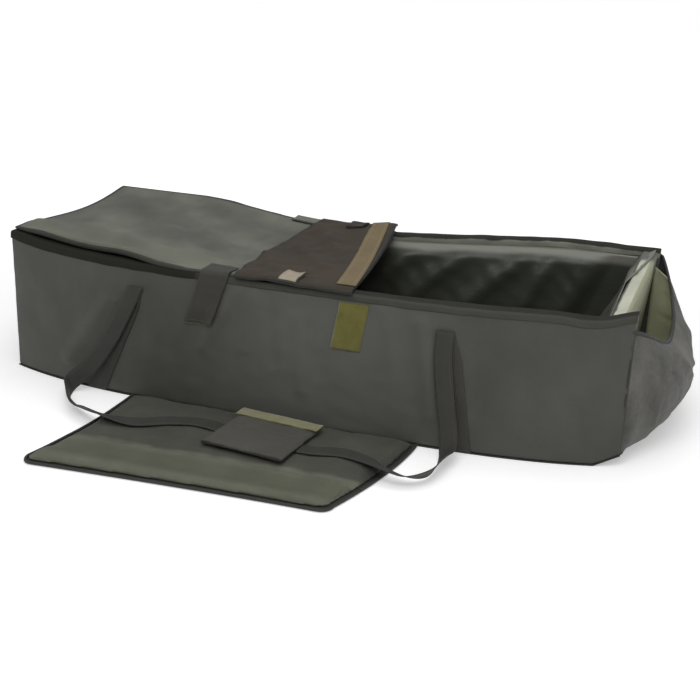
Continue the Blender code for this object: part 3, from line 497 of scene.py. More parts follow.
def padded_box(name, low, high, step, round_by, shape, material):
    """A closed board with rounded edges. shape bends its points, which it gets as x, y and z."""
    lines = [grid_lines(low[i], high[i], step[i], round_by) for i in range(3)]
    counts = [len(line) for line in lines]
    number = -np.ones(counts, dtype=int)
    on_skin = np.zeros(counts, dtype=bool)
    sides = [(axis, end) for axis in range(3) for end in (0, -1)]
    for axis, end in sides:
        np.moveaxis(on_skin, axis, 0)[end] = True
    number[on_skin] = np.arange(on_skin.sum())
    places = as_points([line[index] for line, index in zip(lines, np.nonzero(on_skin))])
    faces = []
    for axis, end in sides:
        side = quads(np.moveaxis(number, axis, 0)[end])
        outward = (end == -1) == (axis != 1)
        faces.append(side if outward else side[:, ::-1])
    low, high = np.array(low) + round_by, np.array(high) - round_by
    core = np.clip(places, low, high)
    places = core + unit(places - core) * round_by
    x, y, z = places.T
    cloth = as_points([x, y + z, OWN_PATTERN * len(made_pieces)])
    hem = (high - places).min(axis=1) + round_by
    return finish_mesh(name, as_points(shape(x, y, z)), np.concatenate(faces), cloth, hem, material)


print("a board's thickness has", len(grid_lines(0, WALL, 0.006, 0.005)), "lines")

# %% Folds, tubes and sewing


def ridge(a, b, start, end, width):
    """Height from 0 to 1 of a soft fold along the line between two places."""
    run = np.array(end) - np.array(start)
    along = clamp(((a - start[0]) * run[0] + (b - start[1]) * run[1]) / (run @ run))
    return bell(np.hypot(a - start[0] - run[0] * along, b - start[1] - run[1] * along), width)


def folded(a, b, folds):
    return sum(height * ridge(a, b, start, end, width) for start, end, width, height in folds)


def unevenness(a, b, size, seed):
    """Soft waves of about this size in metres, from about -1 to 1, the same at each run."""
    random = np.random.default_rng(seed)
    total = 0
    for _ in range(7):
        angle, phase, other = random.uniform(0, 2 * np.pi, 3)
        wave = size * random.uniform(0.7, 1.6)
        across = a * np.cos(angle) + b * np.sin(angle)
        bend = 0.8 * np.sin(2 * np.pi * (b * np.cos(angle) - a * np.sin(angle)) / (wave * 2.3) + other)
        total = total + np.sin(2 * np.pi * across / wave + phase + bend)
    return total / 3.5


def tube_along(name, route, radius, material):
    """A bound edge: a tube along a route of points."""
    route = np.array(route, dtype=float)
    ahead = unit(np.gradient(route, axis=0))
    side = unit(np.cross(ahead, (0, 0, 1)))
    top = np.cross(side, ahead)

    def place(along, turn):
        i = np.rint(along * (len(route) - 1)).astype(int)
        angle = (turn * 2 * np.pi)[..., None]
        return np.moveaxis(route[i] + (side[i] * np.cos(angle) + top[i] * np.sin(angle)) * radius, -1, 0)

    return sheet_of_cloth(name, place, len(route) - 1, 10, material, 0, None, "ends")


def sew(piece, body, slot, *nodes):
    """Attaches a piece to its body and hides the solids it stands for. The two bodies and ends of a bend are not used.
    """
    if isinstance(body, str):
        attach(piece, body)
    else:
        first, second, start, end = body
        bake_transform(piece)
    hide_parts(*nodes)
    return piece


def sew_sheet(piece, body, slot, node, flat, held, *under):
    sew(piece, body, slot, node)


print("cloth helpers ready")

# %% [markdown]
# ## Finishes
# The outer cloth is a matt coated polyester, a plain weave of threads about a millimetre apart. Its colour is not
# even: rubbed places are paler, soft creases from folding catch the light, and painted shade darkens the hollows of
# the weave. The same recipe with other colours serves for the lid, the mat and the linings. Some pieces add regions
# of painted light and shade: a paler middle on the walls, dark bands on the lid's folds, a darker rear half and
# valley on the mat, and a greyer back on the right end.
# A picture of cloth could be laid on instead, but two crossed waves keep their size on every piece and need no file.

# %% Woven cloth
PLAIN_WEAVE = 0.0011


def stitches(finish, inset, stitch=0.0036, width=0.0007):
    """Short threads in a row beside the hem."""
    along, across = finish.threads()
    row = abs(finish.hem() - inset) < width
    return row * ((along + across).wave(stitch) > -0.55)


def woven_cloth(name, base, worn, crease=0.0012, rough=0.62, sheen=0.08, hem=None, regions=None):
    """A plain weave. hem is the bound edge's colour and width, and regions changes the colour by place."""
    finish = Finish(name)
    clouds = finish.noise(0.16, 3, 0.55)
    specks = finish.noise(0.006, 2, 0.6)
    creases = finish.noise(0.045, 3, 0.45, (1, 0.55, 1))
    along, across = finish.threads()
    weave = along.wave(PLAIN_WEAVE) * across.wave(PLAIN_WEAVE) * 0.5 + 0.5
    tone = (clouds * 0.65 + specks * 0.2 + creases * 0.35 - 0.1).share(0.25, 0.85)
    # Painted shade: the hollows between the threads are darkened.
    tint = finish.darkened(finish.mixed(base, worn, tone), (0.30, 0.30, 0.30), (1 - weave) * 0.22)
    tint = regions(finish, tint) if regions else tint
    relief = finish.raised(weave, 0.00022, finish.raised(creases, crease))
    shine = clouds * 0.16 + specks * 0.1 + (rough - 0.13)
    if hem:
        shade, width = hem
        bound, thread = finish.hem() < width, stitches(finish, width * 0.72)
        tint = finish.mixed(tint, shade, bound)
        tint = finish.mixed(tint, tuple(value * 1.5 for value in shade), thread * 0.6)
        relief = finish.raised(bound * 0.8 + thread * 0.5, 0.0006, relief)
    cloth_shine = {"Sheen_Weight": sheen, "Sheen_Roughness": 0.5, "Specular_IOR_Level": 0.35}
    return finish.surface(Base_Color=tint, Roughness=shine, Normal=relief, **cloth_shine)


print("threads lie", PLAIN_WEAVE, "m apart")

# %% Woven finishes and their regions of painted light and shade


def walls_painted_light(finish, tint):
    """Painted light: the walls are paler in their middle, where they bow out, and darker towards their ends."""
    along, _ = finish.threads()
    painted_light_share = (0.40 - abs(along - 0.06)).share(0.13, 0.36)
    return finish.mixed(finish.darkened(tint, (0.88, 0.88, 0.88), 1.0), (103, 104, 98), painted_light_share * 0.5)


def two_sided_end(finish, tint):
    """The right end's sleeve, pale on top, olive outside and greyer at the back: painted light and shade on its cloth.
    """
    along, across = finish.threads()
    wave = finish.noise(0.03, 2)
    outside = (along + wave * 0.003).share(END_OUTER_X - 0.006, END_OUTER_X - 0.003)
    uncovered = (along + wave * 0.004).share(END_INNER_X + 0.005, END_INNER_X + 0.008)
    # Painted light: the pale top and olive outer side are paler than their cloth, and the inner face stays grey.
    tint = finish.mixed((82, 84, 75), finish.mixed(tint, (158, 160, 128), outside), uncovered)
    # Greyer towards the back, where the liner is drawn over it: partly that liner and partly painted shade.
    return finish.mixed(tint, (96, 98, 88), (across + wave * 0.03).share(0.365, 0.405))


def mat_painted_shade(finish, tint):
    """Painted shade: the rear half, in the tub's shade, is darker, and so is the valley between the front swells."""
    along, across = finish.threads()
    wave = finish.noise(0.05, 2)
    behind = (across - along * 0.0325 + wave * 0.020).share(-0.436, -0.424)
    valley = (0.05 - abs(across - along * 0.04 + 0.482 + wave * 0.012)).share(0.014, 0.036)
    # Painted shade in the valley and over the rear half.
    tint = finish.darkened(tint, (0.70, 0.72, 0.66), valley * 0.8)
    return finish.darkened(tint, (0.48, 0.48, 0.50), behind * (wave * 0.5 + 0.72))


def lid_painted_folds(finish, tint):
    """Painted light and shade: dark slanted bands on the lid's drawn folds and a painted highlight on its front edge.
    """
    along, across = finish.threads()
    band = (along * 0.50 + across * 0.86 + finish.noise(0.14, 2) * 0.16).wave(0.17) * 0.5 + 0.5
    # Painted shade on the folds.
    tint = finish.darkened(tint, (0.62, 0.62, 0.61), band * 0.80)
    # Painted highlight along the front edge.
    return finish.mixed(tint, (122, 125, 108), (1 - across.share(0.03, 0.16)) * 0.35)


cover_cloth = woven_cloth("cover_cloth", (72, 73, 66), (90, 91, 83), regions=walls_painted_light)
# The pocket's pale second colour is partly a painted highlight on its creases.
pocket_cloth = woven_cloth("pocket_cloth", (60, 60, 55), (122, 121, 114), 0.014, hem=((46, 46, 42), 0.005))
lid_cloth = woven_cloth(
    "lid_cloth", (90, 92, 81), (130, 132, 118), 0.007, hem=((50, 51, 45), 0.007), regions=lid_painted_folds
)
brown_cloth = woven_cloth("brown_cloth", (46, 40, 28), (71, 58, 41), 0.006, sheen=0.02, hem=((46, 43, 37), 0.007))
# The olive lining is paler than its cloth, so that it shows lit in the pocket's shade: painted light.
olive_cloth = woven_cloth("olive_cloth", (190, 192, 156), (216, 217, 184), 0.0035, 0.5)
# The right end's pale top is partly a painted highlight.
pale_cloth = woven_cloth("pale_cloth", (196, 199, 178), (220, 222, 202), 0.004, 0.55, regions=two_sided_end)
mat_cloth = woven_cloth("mat_cloth", (90, 92, 78), (118, 120, 103), 0.003, 0.55, regions=mat_painted_shade)
sheet_cloth = woven_cloth("ground_cloth", (44, 45, 41), (58, 58, 53), 0.001, 0.6)
grip_cloth = woven_cloth("grip_cloth", (70, 69, 62), (86, 85, 77), 0.0016, hem=((42, 42, 38), 0.006))
print("woven finishes", len(bpy.data.materials))

# %% [markdown]
# The liner is smooth coated cloth. It is nearly black, with painted light making it paler near the rims, and its
# gloss varies where the coating has been wiped. Tape and webbing have ribs across their length, and hook and loop
# tape is fuzzy or dotted.

# %% Liner, tape and webbing


def wipe_clean_liner(name, base, worn, painted_light_to):
    """Smooth cloth with painted light, paler down to this distance from its upper hem."""
    finish = Finish(name)
    clouds = finish.noise(0.12, 3)
    creases = finish.noise(0.05, 4, 0.5, (0.6, 1, 1))
    # Painted light: a paler strip below the rim.
    painted_rim_light = 1 - (finish.hem() + clouds * 0.014 - 0.007).share(painted_light_to / 2, painted_light_to)
    tint = finish.mixed(finish.mixed(base, worn, clouds * 0.6 + creases * 0.4), (128, 129, 118), painted_rim_light * 0.8)
    relief = finish.raised(finish.noise(0.0012, 1), 0.00008, finish.raised(creases, 0.0025))
    return finish.surface(Base_Color=tint, Roughness=clouds * 0.2 + 0.30, Normal=relief, Specular_IOR_Level=0.4)


def ribbed_tape(name, base, worn, rib=0.0016, edge=0.0022, depth=0.0003):
    """Woven tape: ribs across its length, a firmer edge and a row of stitches beside it."""
    finish = Finish(name)
    along, across = finish.threads()
    ribs = along.wave(rib) * 0.5 + 0.5
    twill = (along + across).wave(rib * 0.8) * 0.5 + 0.5
    patches = finish.noise(0.03, 3)
    firm = finish.hem() < edge
    thread = stitches(finish, edge * 1.9, 0.0042, 0.0006)
    tint = finish.mixed(base, worn, (patches * 0.8 + ribs * 0.25 + firm * 0.15).share(0.2, 0.95))
    tint = finish.mixed(tint, tuple(value * 1.35 for value in worn), thread * 0.55)
    relief = finish.raised(ribs * 0.6 + twill * 0.4 + firm * 0.4 + thread * 0.5, depth)
    return finish.surface(Base_Color=tint, Roughness=patches * 0.15 + 0.62, Normal=relief, Sheen_Weight=0.05)


def loop_tape(name, base, worn):
    """The fuzzy half of hook and loop tape: tangled little loops."""
    finish = Finish(name)
    fuzz = finish.noise(0.0016, 4, 0.75)
    edge = finish.hem() < 0.0018
    tint = finish.mixed(base, worn, (fuzz * 0.6 + finish.noise(0.02, 3) * 0.5).share(0.3, 0.8))
    tint = finish.mixed(tint, tuple(value * 0.7 for value in base), edge * 0.6)
    relief = finish.raised(fuzz * 1.0 - edge * 0.5, 0.0012)
    return finish.surface(Base_Color=tint, Roughness=0.9, Normal=relief, Sheen_Weight=0.5, Sheen_Roughness=0.4)


def hook_tape(name, base, worn):
    """The hook half: rows of stiff little hooks."""
    finish = Finish(name)
    along, across = finish.threads()
    dots = (along.wave(0.0019) * across.wave(0.0019)).share(0.1, 0.7)
    patches = finish.noise(0.015, 3)
    tint = finish.mixed(base, worn, (patches * 0.7 + dots * 0.4).share(0.2, 0.9))
    return finish.surface(Base_Color=tint, Roughness=patches * 0.2 + 0.45, Normal=finish.raised(dots, 0.0005))


def rim_tape(name, under_lid=0.0, painted_light_inside=False):
    """The tape over a rim: near the cover's colour outside and dark over the top and where the lid shades it."""
    finish = Finish(name)
    along, across = finish.threads()
    patches = finish.noise(0.03, 3)
    outer, dark = finish.mixed((60, 61, 55), (74, 75, 68), patches), finish.mixed((36, 37, 32), (52, 52, 46), patches)
    tint = finish.mixed(outer, dark, (across + patches * 0.004).share(0.0125, 0.0165))
    if under_lid:
        tint = finish.mixed((34, 34, 27), tint, (along + patches * 0.02).share(under_lid, under_lid + 0.02))
    # Painted light on the inner side of the tape.
    if painted_light_inside:
        pale = finish.mixed((96, 97, 88), (150, 152, 140), finish.noise(0.05, 2))
        tint = finish.mixed(tint, pale, (across + patches * 0.006).share(0.040, 0.043))
    relief = finish.raised(along.wave(0.0016) * 0.5 + 0.5, 0.00015)
    return finish.surface(Base_Color=tint, Roughness=patches * 0.15 + 0.75, Normal=relief, Specular_IOR_Level=0.2)


print("five recipes for liner and tape")

# %% Liner and tape finishes
liner_cloth = wipe_clean_liner("wipe_clean_liner", (48, 51, 44), (66, 68, 60), 0.024)
floor_cloth = wipe_clean_liner("floor_liner", (48, 51, 44), (66, 68, 60), 0.003)
# The right end's liner is a paler copy with a wider pale strip: painted light on its slope.
painted_light_end_liner = wipe_clean_liner("end_liner", (66, 68, 60), (88, 90, 81), 0.035)
binding_tape = ribbed_tape("binding_tape", (40, 41, 37), (54, 54, 49))
front_rim = rim_tape("front_rim_tape", under_lid=0.40)
back_rim = rim_tape("back_rim_tape", painted_light_inside=True)
left_rim = rim_tape("left_rim_tape")
strap_tape = ribbed_tape("strap_tape", (48, 47, 42), (60, 59, 53), rib=0.0013)
carry_webbing = ribbed_tape("carry_webbing", (42, 42, 37), (56, 55, 49), rib=0.0024, depth=0.0005)
beige_webbing = ribbed_tape("beige_webbing", (104, 89, 58), (126, 110, 76), rib=0.002, edge=0.0026)
olive_loops = loop_tape("olive_loops", (90, 88, 34), (114, 110, 52))
wrap_loops = loop_tape("wrap_loops", (114, 112, 66), (138, 135, 92))
beige_hooks = hook_tape("beige_hooks", (162, 151, 130), (192, 181, 160))
brown_hooks = hook_tape("brown_hooks", (44, 39, 30), (66, 55, 43))
print("tapes and liner", len(bpy.data.materials))

# %% [markdown]
# ## The two long walls
# A long wall is a foam board in a sleeve. The sleeve is a little slack: it swells between its seams and lies in soft
# creases where the straps and handles pull on it. The creases are low ridges in the outward distance of its skin, and
# whatever lies on the wall, such as tape and webbing, asks the same function how far out it has to be. A cloth
# simulation would crease the sleeve too, but not at the places where the photograph shows creases.

# %% Long walls
FRONT_CREASES = (
    ((-0.086, 0.232), (-0.150, 0.120), 0.010, 0.0034),
    ((-0.060, 0.225), (-0.075, 0.130), 0.010, 0.0030),
    ((-0.030, 0.230), (-0.022, 0.110), 0.010, -0.0026),
    ((0.020, 0.200), (0.030, 0.070), 0.012, 0.0030),
    ((0.075, 0.225), (0.060, 0.100), 0.012, -0.0018),
    ((0.170, 0.235), (0.185, 0.120), 0.014, 0.0018),
    ((0.228, 0.220), (0.256, 0.060), 0.014, 0.0048),
    ((0.318, 0.230), (0.322, 0.070), 0.018, -0.0016),
    ((-0.330, 0.180), (-0.420, 0.050), 0.015, 0.0065),
    ((-0.290, 0.230), (-0.230, 0.140), 0.018, 0.0016),
    ((-0.470, 0.180), (-0.440, 0.060), 0.030, 0.0016),
    ((0.470, 0.230), (0.500, 0.060), 0.025, 0.0018),
)
SIDES = ((-1, "front"), (1, "back"))


def wall_swell(side, x, z):
    """How far the sleeve's outer skin stands off its board."""
    up = clamp(z / HEIGHT)
    along = clamp(1 - np.abs(x) / HALF_LENGTH)
    slack = 0.0016 * np.sin(np.pi * up) ** 0.6 * smooth(along / 0.05)
    soft = 0.0008 * unevenness(x, z * 0.55, 0.11, 3 + side) + 0.0004 * unevenness(x, z, 0.045, 8 + side)
    pulled = (1 if side < 0 else 0.6) * folded(x, z, FRONT_CREASES)
    return slack + (soft + pulled) * (smooth(up / 0.12) * smooth((1 - up) / 0.08))


def on_wall(side, x, z, out):
    """A place at this distance out from a wall's skin."""
    return settle(x, side * (HALF_WIDTH + wall_swell(side, x, z) + out), z)


def in_wall(side, x, y, z):
    """A place of a wall's board or rim, moved out as far as its sleeve swells there."""
    return settle(x, y + side * wall_swell(side, x, z) * clamp((side * y - INNER_Y) / WALL) ** 3, z)


for side, name in SIDES:
    near, far = sorted((side * HALF_WIDTH, side * INNER_Y))
    box = (-HALF_LENGTH, near, FOOT), (HALF_LENGTH, far, HEIGHT), (0.006, 0.006, 0.005), 0.005
    wall = padded_box(f"{name}_wall", *box, lambda x, y, z, side=side: in_wall(side, x, y, z), cover_cloth)
    sew(wall, "tub", "cover", f"{name}_wall_cover", f"{name}_wall_foam")
print("each wall", len(wall.data.vertices), "points")

# %% [markdown]
# ## The ends, the floor and the ground sheet
# The left end is a board like the walls. The right end stands inside the tub, and its pale top catches the light.
# The floor is a foam pad under smooth cloth, and the whole tub stands on a dark ground sheet. Tight covers on foam
# hardly move, so rounded boards with slightly uneven faces are enough here and need no simulation.

# %% Ends and floor


def end_board(name, low_x, high_x, material, slot, swell, warp):
    reach = INNER_Y - LAY - BINDING - LAY

    def shape(x, y, z):
        out = clamp((x - low_x) / (high_x - low_x)) * 2 - 1
        soft = swell * (1 + unevenness(y, z, 0.09, 21)) * np.sin(np.pi * clamp(z / HEIGHT)) ** 0.7
        top = 0.0014 * unevenness(y, x, 0.06, 5) * clamp((z - HEIGHT + 0.02) / 0.02)
        return warp(x + np.abs(out) ** 3 * np.sign(out) * soft, y, z + top)

    box = (low_x, -reach, FOOT), (high_x, reach, HEIGHT), (0.005, 0.006, 0.006), 0.005
    board = sew(padded_box(name, *box, shape, material), "tub", slot, f"{name}_cover", f"{name}_foam")


def floor_pad():
    side = INNER_Y - LAY
    low_x, high_x = LEFT_INNER_X + LAY, END_INNER_X - LAY

    def shape(x, y, z):
        return settle(x, y, z + 0.0012 * unevenness(x, y, 0.15, 31) * clamp((z - FOOT) / FLOOR_PAD))

    box = (low_x, -side, FOOT), (high_x, side, FLOOR_TOP), (0.012, 0.012, 0.006), 0.003
    pad = sew(padded_box("floor_foam", *box, shape, sheet_cloth), "tub", "foam", "base_foam")
    inner = side - CLOTH - LAY

    def lining(along, across):
        x, y = between(low_x, high_x, along), between(-inner, inner, across)
        rise = 0.0020 * (1 + unevenness(x, y, 0.10, 32)) * smooth(np.minimum(across, 1 - across) / 0.06)
        return settle(x, y, FLOOR_TOP + LAY + rise)

    cloth = sheet_of_cloth("floor_liner_cloth", lining, 110, 44, floor_cloth)
    flat = (2 * inner, END_INNER_X - LEFT_INNER_X)
    sew_sheet(cloth, "tub", "liner", "floor_liner", flat, "laid", "floor_foam")


def ground_cloth():
    def place(along, across):
        x, y = between(-HALF_LENGTH, HALF_LENGTH, along), between(-HALF_WIDTH - SLACK, HALF_WIDTH + SLACK, across)
        return settle(x, y, 0 * x)

    cloth = sheet_of_cloth("ground_cloth", place, 140, 50, sheet_cloth, COVER)
    sew_sheet(cloth, "tub", "ground_sheet", "ground_sheet", (WIDTH, LENGTH), "laid", "floor")


end_board("left_end", -HALF_LENGTH, LEFT_INNER_X, cover_cloth, "cover", 0.0006, settle)
end_board("right_end", END_INNER_X, END_OUTER_X, pale_cloth, "olive_lining", 0.0004, settle_end)
floor_pad()
ground_cloth()
print("ends, floor and ground sheet made")

# %% [markdown]
# ## Binding over the rims
# A woven tape is folded over each rim and sewn down on both sides. Its section is an upside-down U that follows the
# board's rounded top, so the tape is a sheet swept along the rim. A curve with this section could be bevelled along
# the rim, but a sheet passes through the same bending function as the wall, so the two never part.

# %% Rim binding
RIM_ROUND = 0.005


def u_section(near, far, off):
    """Places of a U over a board's top, from its outer foot to its inner foot, as y and z."""
    sign = np.sign(far - near)
    turn, foot = HEIGHT - RIM_ROUND, HEIGHT - BINDING_DROP
    places = [(near, between(foot, turn, share)) for share in steps(4)[:-1]]
    for angle in np.linspace(0, np.pi / 2, 7):
        places.append((near + sign * RIM_ROUND * (1 - np.cos(angle)), turn + RIM_ROUND * np.sin(angle)))
    section = np.array(places + [(near + far - y, z) for y, z in reversed(places)])
    centre = np.array([(near + far) / 2, foot])
    wide, high = (section - centre).T
    return centre + np.stack([np.sign(wide) * (np.abs(wide) + off), high + off * (high > BINDING_DROP - 0.004)], 1)


def rim_binding(name, section, reach, bend, count, material):
    """Tape along a rim from -reach to reach. bend gets the distance along it and the section's two numbers."""

    def place(along, across):
        run = between(-reach, reach, along)
        side, z = section[np.rint(across * (len(section) - 1)).astype(int)].T
        side, z = side.T, z.T
        return bend(run, side, z + 0.0006 * unevenness(run, side * 3, 0.05, 41))

    tape = sheet_of_cloth(f"{name}_rim_tape", place, count, len(section) - 1, material, BINDING / 2, hems="long")
    sew(tape, "tub", "binding", f"{name}_rim_binding")


for (side, name), material in zip(SIDES, (front_rim, back_rim)):
    section = u_section(side * HALF_WIDTH, side * INNER_Y, LAY)
    rim_binding(name, section, HALF_LENGTH, lambda x, y, z, side=side: in_wall(side, x, y, z), 200, material)
section = u_section(-HALF_LENGTH, LEFT_INNER_X, 2 * LAY)
rim_binding("left", section, INNER_Y - 3 * LAY - BINDING, lambda y, x, z: settle(x, y, z), 70, left_rim)
print("binding sewn over three rims")

# %% [markdown]
# ## The liner
# The smooth cloth inside hangs from the rims. It is cut too large, so at the back wall it hangs in long slanted folds,
# and at the right end it slopes down into the tub. Those folds are what the light picks out in the dark inside.
# They could be simulated as hanging cloth, but here each fold is a line, so that it lies where it can be seen.

# %% Liners
LINER_FOLDS = (
    ((0.327, 0.247), (0.180, 0.100), 0.019, 1),
    ((0.372, 0.250), (0.305, 0.115), 0.017, 1),
    ((0.455, 0.240), (0.385, 0.100), 0.020, 1),
    ((0.205, 0.235), (0.080, 0.120), 0.018, 1),
    ((0.100, 0.230), (0.010, 0.140), 0.018, 1),
)
END_LINER_FOLDS = (((0.75, 1.0), (0.55, 0.2), 0.06, 0.006), ((0.35, 1.0), (0.30, 0.3), 0.05, 0.005))
LINER_SLACK, LINER_RELIEF = 0.016, 0.011
END_LINER_REACH, OVER_BOARD = 0.085, 0.0155


def end_liner_x(up):
    return END_INNER_X - LAY - CLOTH - END_LINER_REACH * (1 - up) ** 1.05


def liner_slack(x, z):
    """How far the back wall's liner hangs off its wall."""
    up = clamp((z - LINER_FOOT) / (LINER_TOP - LINER_FOOT))
    free = clamp((end_liner_x(up) - 0.008 - x) / 0.05)
    hang = LINER_SLACK * clamp((1 - up) / 0.10) ** 0.7 * clamp(up / 0.5) ** 0.8
    fine = 0.10 * unevenness(x + z, (x - z) * 0.4, 0.05, 51)
    return (hang + LINER_RELIEF * (folded(x, z, LINER_FOLDS) + fine) * clamp(6 * up * (1 - up))) * free


def hang_liners():
    left, right = LEFT_INNER_X + 2 * LAY + CLOTH, END_INNER_X - LAY
    side, reach = INNER_Y - 2 * LAY - CLOTH, INNER_Y - 4 * LAY - BINDING - CLOTH
    left_foot = LINER_FOOT + LEFT_DIP * LINER_FOOT / HEIGHT

    def back(along, up):
        z = between(LINER_FOOT, LINER_TOP, up)
        x = between(left, right + END_LEAN * z / HEIGHT + END_SKEW, along)
        return settle(x, INNER_Y - LAY - liner_slack(x, z), z)

    def front(along, up):
        x, z = between(left, right, along), between(LINER_FOOT, LINER_TOP, up)
        soft = 0.0012 * (1 + unevenness(x, z, 0.09, 52)) * np.sin(np.pi * up) ** 0.7
        return settle(x, -INNER_Y + LAY + soft, z)

    def left_side(across, up):
        y, z = between(-side, side, across), between(left_foot, LINER_TOP, up)
        soft = 0.001 * np.sin(np.pi * up) * (1 + unevenness(y, z, 0.08, 53))
        return settle(LEFT_INNER_X + LAY + soft, y, z)

    def right_side(across, up):
        """Slopes into the tub below, and above it is drawn over the board towards the back."""
        y = between(-reach, reach, across)
        folds = folded(across, up, END_LINER_FOLDS) + 0.0016 * unevenness(y, up * 0.2, 0.06, 54)
        spare = 0.040 * smooth(across * 1.1 - 0.05) * clamp((up - 0.88) / 0.12)
        over = np.maximum(spare - OVER_BOARD, 0)
        z = between(LINER_FOOT + SLACK, LINER_TOP, up) + spare - over
        return settle_end(end_liner_x(up) - folds * np.sin(np.pi * up) ** 0.6 + over, y, z)

    long, tall = right - left, LINER_TOP - LINER_FOOT
    for word, part, place, along, across, thickness, facing, flat in (
        ("back", "wall", back, 230, 56, -CLOTH, (0, 1, 0), (long, tall * 1.05)),
        ("front", "wall", front, 110, 30, CLOTH, (0, 1, 0), (long, tall)),
        ("left", "end", left_side, 50, 30, CLOTH, (1, 0, 0), (2 * side, tall)),
        ("right", "end", right_side, 60, 44, CLOTH, (-1, 0, 0), (2 * reach, tall * 1.08)),
    ):
        lining = painted_light_end_liner if word == "right" else liner_cloth
        cloth = sheet_of_cloth(f"{word}_liner_cloth", place, along, across, lining, thickness, facing, "last")
        sew_sheet(cloth, "tub", "liner", f"{word}_{part}_liner", flat, "hung", f"{word}_{part}")


hang_liners()
print("four liners hung")

# %% [markdown]
# ## The pocket at the right end
# A cloth pocket is sewn round the right end. Its lip hangs in the middle and its outside lies in hard creases, with an
# olive lining that shows where it gapes. It could be draped by a simulation. It is drawn row by row from its foot to
# its lip instead, so that its outline can be set, and the creases are then added along its outward direction.

# %% Pocket
POCKET_X = HALF_LENGTH + CLOTH + COVER - LAY
POCKET_TURN, POCKET_ROUND, POCKET_WIDEST = 0.55, 2 / 1.8, 0.60
POCKET_REACH, POCKET_LIP, LIP_RISE_FRONT, LIP_RISE_BACK = 0.084, 0.160, 0.066, 0.085
LINING_FOOT = 0.16
POCKET_CREASES = (
    ((0.30, 0.86), (0.52, 0.46), 0.030, 0.0050),
    ((0.42, 0.74), (0.66, 0.52), 0.028, 0.0036),
    ((0.20, 0.70), (0.34, 0.36), 0.026, -0.0050),
    ((0.50, 0.42), (0.40, 0.14), 0.032, 0.0040),
    ((0.70, 0.90), (0.74, 0.50), 0.032, 0.0024),
    ((0.60, 0.34), (0.86, 0.20), 0.045, -0.0020),
    ((0.08, 0.60), (0.16, 0.30), 0.020, 0.0030),
)


def pocket_point(across, row):
    """A place on the smooth pocket, from its foot at row 0 to its lip at row 1."""
    y = between(-HALF_WIDTH, HALF_WIDTH, across)
    out = clamp(np.abs(y) / HALF_WIDTH)
    lip = POCKET_LIP + np.where(y < 0, LIP_RISE_FRONT * out**1.6, LIP_RISE_BACK * out**1.8)
    angle = np.pi / 2 * (1 - clamp(row / POCKET_TURN))
    up = clamp((row - POCKET_TURN) / (1 - POCKET_TURN))
    low = row <= POCKET_TURN
    reach = np.where(low, np.maximum(np.cos(angle), 0) ** POCKET_ROUND, 1 - 0.5 * up**2.5)
    rise = np.where(low, POCKET_WIDEST * (1 - np.sin(angle) ** POCKET_ROUND), between(POCKET_WIDEST, 1, up))
    tuck = 0.0062 * (1 - smooth(np.minimum(across, 1 - across) / 0.010))
    return POCKET_X + POCKET_REACH * (1 - out**2.6) * reach - tuck, y, between(FOOT, lip, rise)


def pocket_surface(across, row, depth):
    """A point of the creased pocket at this depth under its outer cloth."""
    step = 0.004
    sideways = as_points(pocket_point(across + step, row)) - as_points(pocket_point(across - step, row))
    upward = as_points(pocket_point(across, clamp(row + step))) - as_points(pocket_point(across, clamp(row - step)))
    outward = np.moveaxis(unit(np.cross(sideways, upward)), -1, 0)
    fine = 0.0014 * unevenness(across, row * 0.7, 0.23, 61) + 0.0006 * unevenness(across, row, 0.10, 62)
    held = smooth(across / 0.10) * smooth((1 - across) / 0.10) * smooth((row + 0.02) / 0.20)
    held = held * between(1.0, 0.45, smooth((row - 0.8) / 0.2))
    lift = (folded(across, row, POCKET_CREASES) + fine) * held - depth
    return [place + away * lift for place, away in zip(pocket_point(across, row), outward)]


def pocket_inside(across, row):
    """The lining: it hangs off the outer cloth, and its two ends lead to the walls."""
    lead = clamp(np.minimum(across, 1 - across) / 0.06)
    y_wall = np.where(across < 0.5, -1, 1) * (INNER_Y - 3 * LAY)
    across, row = between(0.055, 0.945, across), between(LINING_FOOT, 1, row)
    hang = 0.007 * bell(across - 0.62, 0.05) + 0.005 * bell(across - 0.40, 0.04)
    up = clamp((row - LINING_FOOT) / (1 - LINING_FOOT))
    slack = (hang + 0.002 * (1 + unevenness(across, row * 0.3, 0.16, 63))) * np.sin(np.pi * up) ** 0.7
    x, y, z = pocket_surface(across, row, COVER + LAY + slack)
    return settle(between(0.545, x, lead), between(y_wall, y, lead), z)


def sew_pocket():
    columns = np.concatenate([[0, 0.003, 0.007], np.linspace(0.011, 0.989, 90), [0.993, 0.997, 1]])
    outside = (1, 0, 0)
    cloth = sheet_of_cloth(
        "pocket_cloth", lambda u, v: settle(*pocket_surface(u, v, 0)), columns, 70, pocket_cloth, -COVER, outside
    )
    lining = sheet_of_cloth("pocket_lining", pocket_inside, 90, 60, olive_cloth, -CLOTH, outside)
    for piece, slot, node, flat in (
        (cloth, "cover", "end_pocket_cloth", (0.52, 0.235)),
        (lining, "olive_lining", "end_pocket_lining", (0.50, 0.18)),
    ):
        sew_sheet(piece, "tub", slot, node, flat, "hung", "front_wall", "back_wall")
    route = []
    for share in steps(80):
        x, y, z = pocket_surface(share, 1.0, COVER / 2)
        route.append(settle(x, y, z + LAY))
    welt = tube_along("pocket_bound_edge", route, 0.0026, binding_tape)
    sew(welt, "tub", "binding", "end_pocket_binding")


sew_pocket()
print("pocket sewn on")
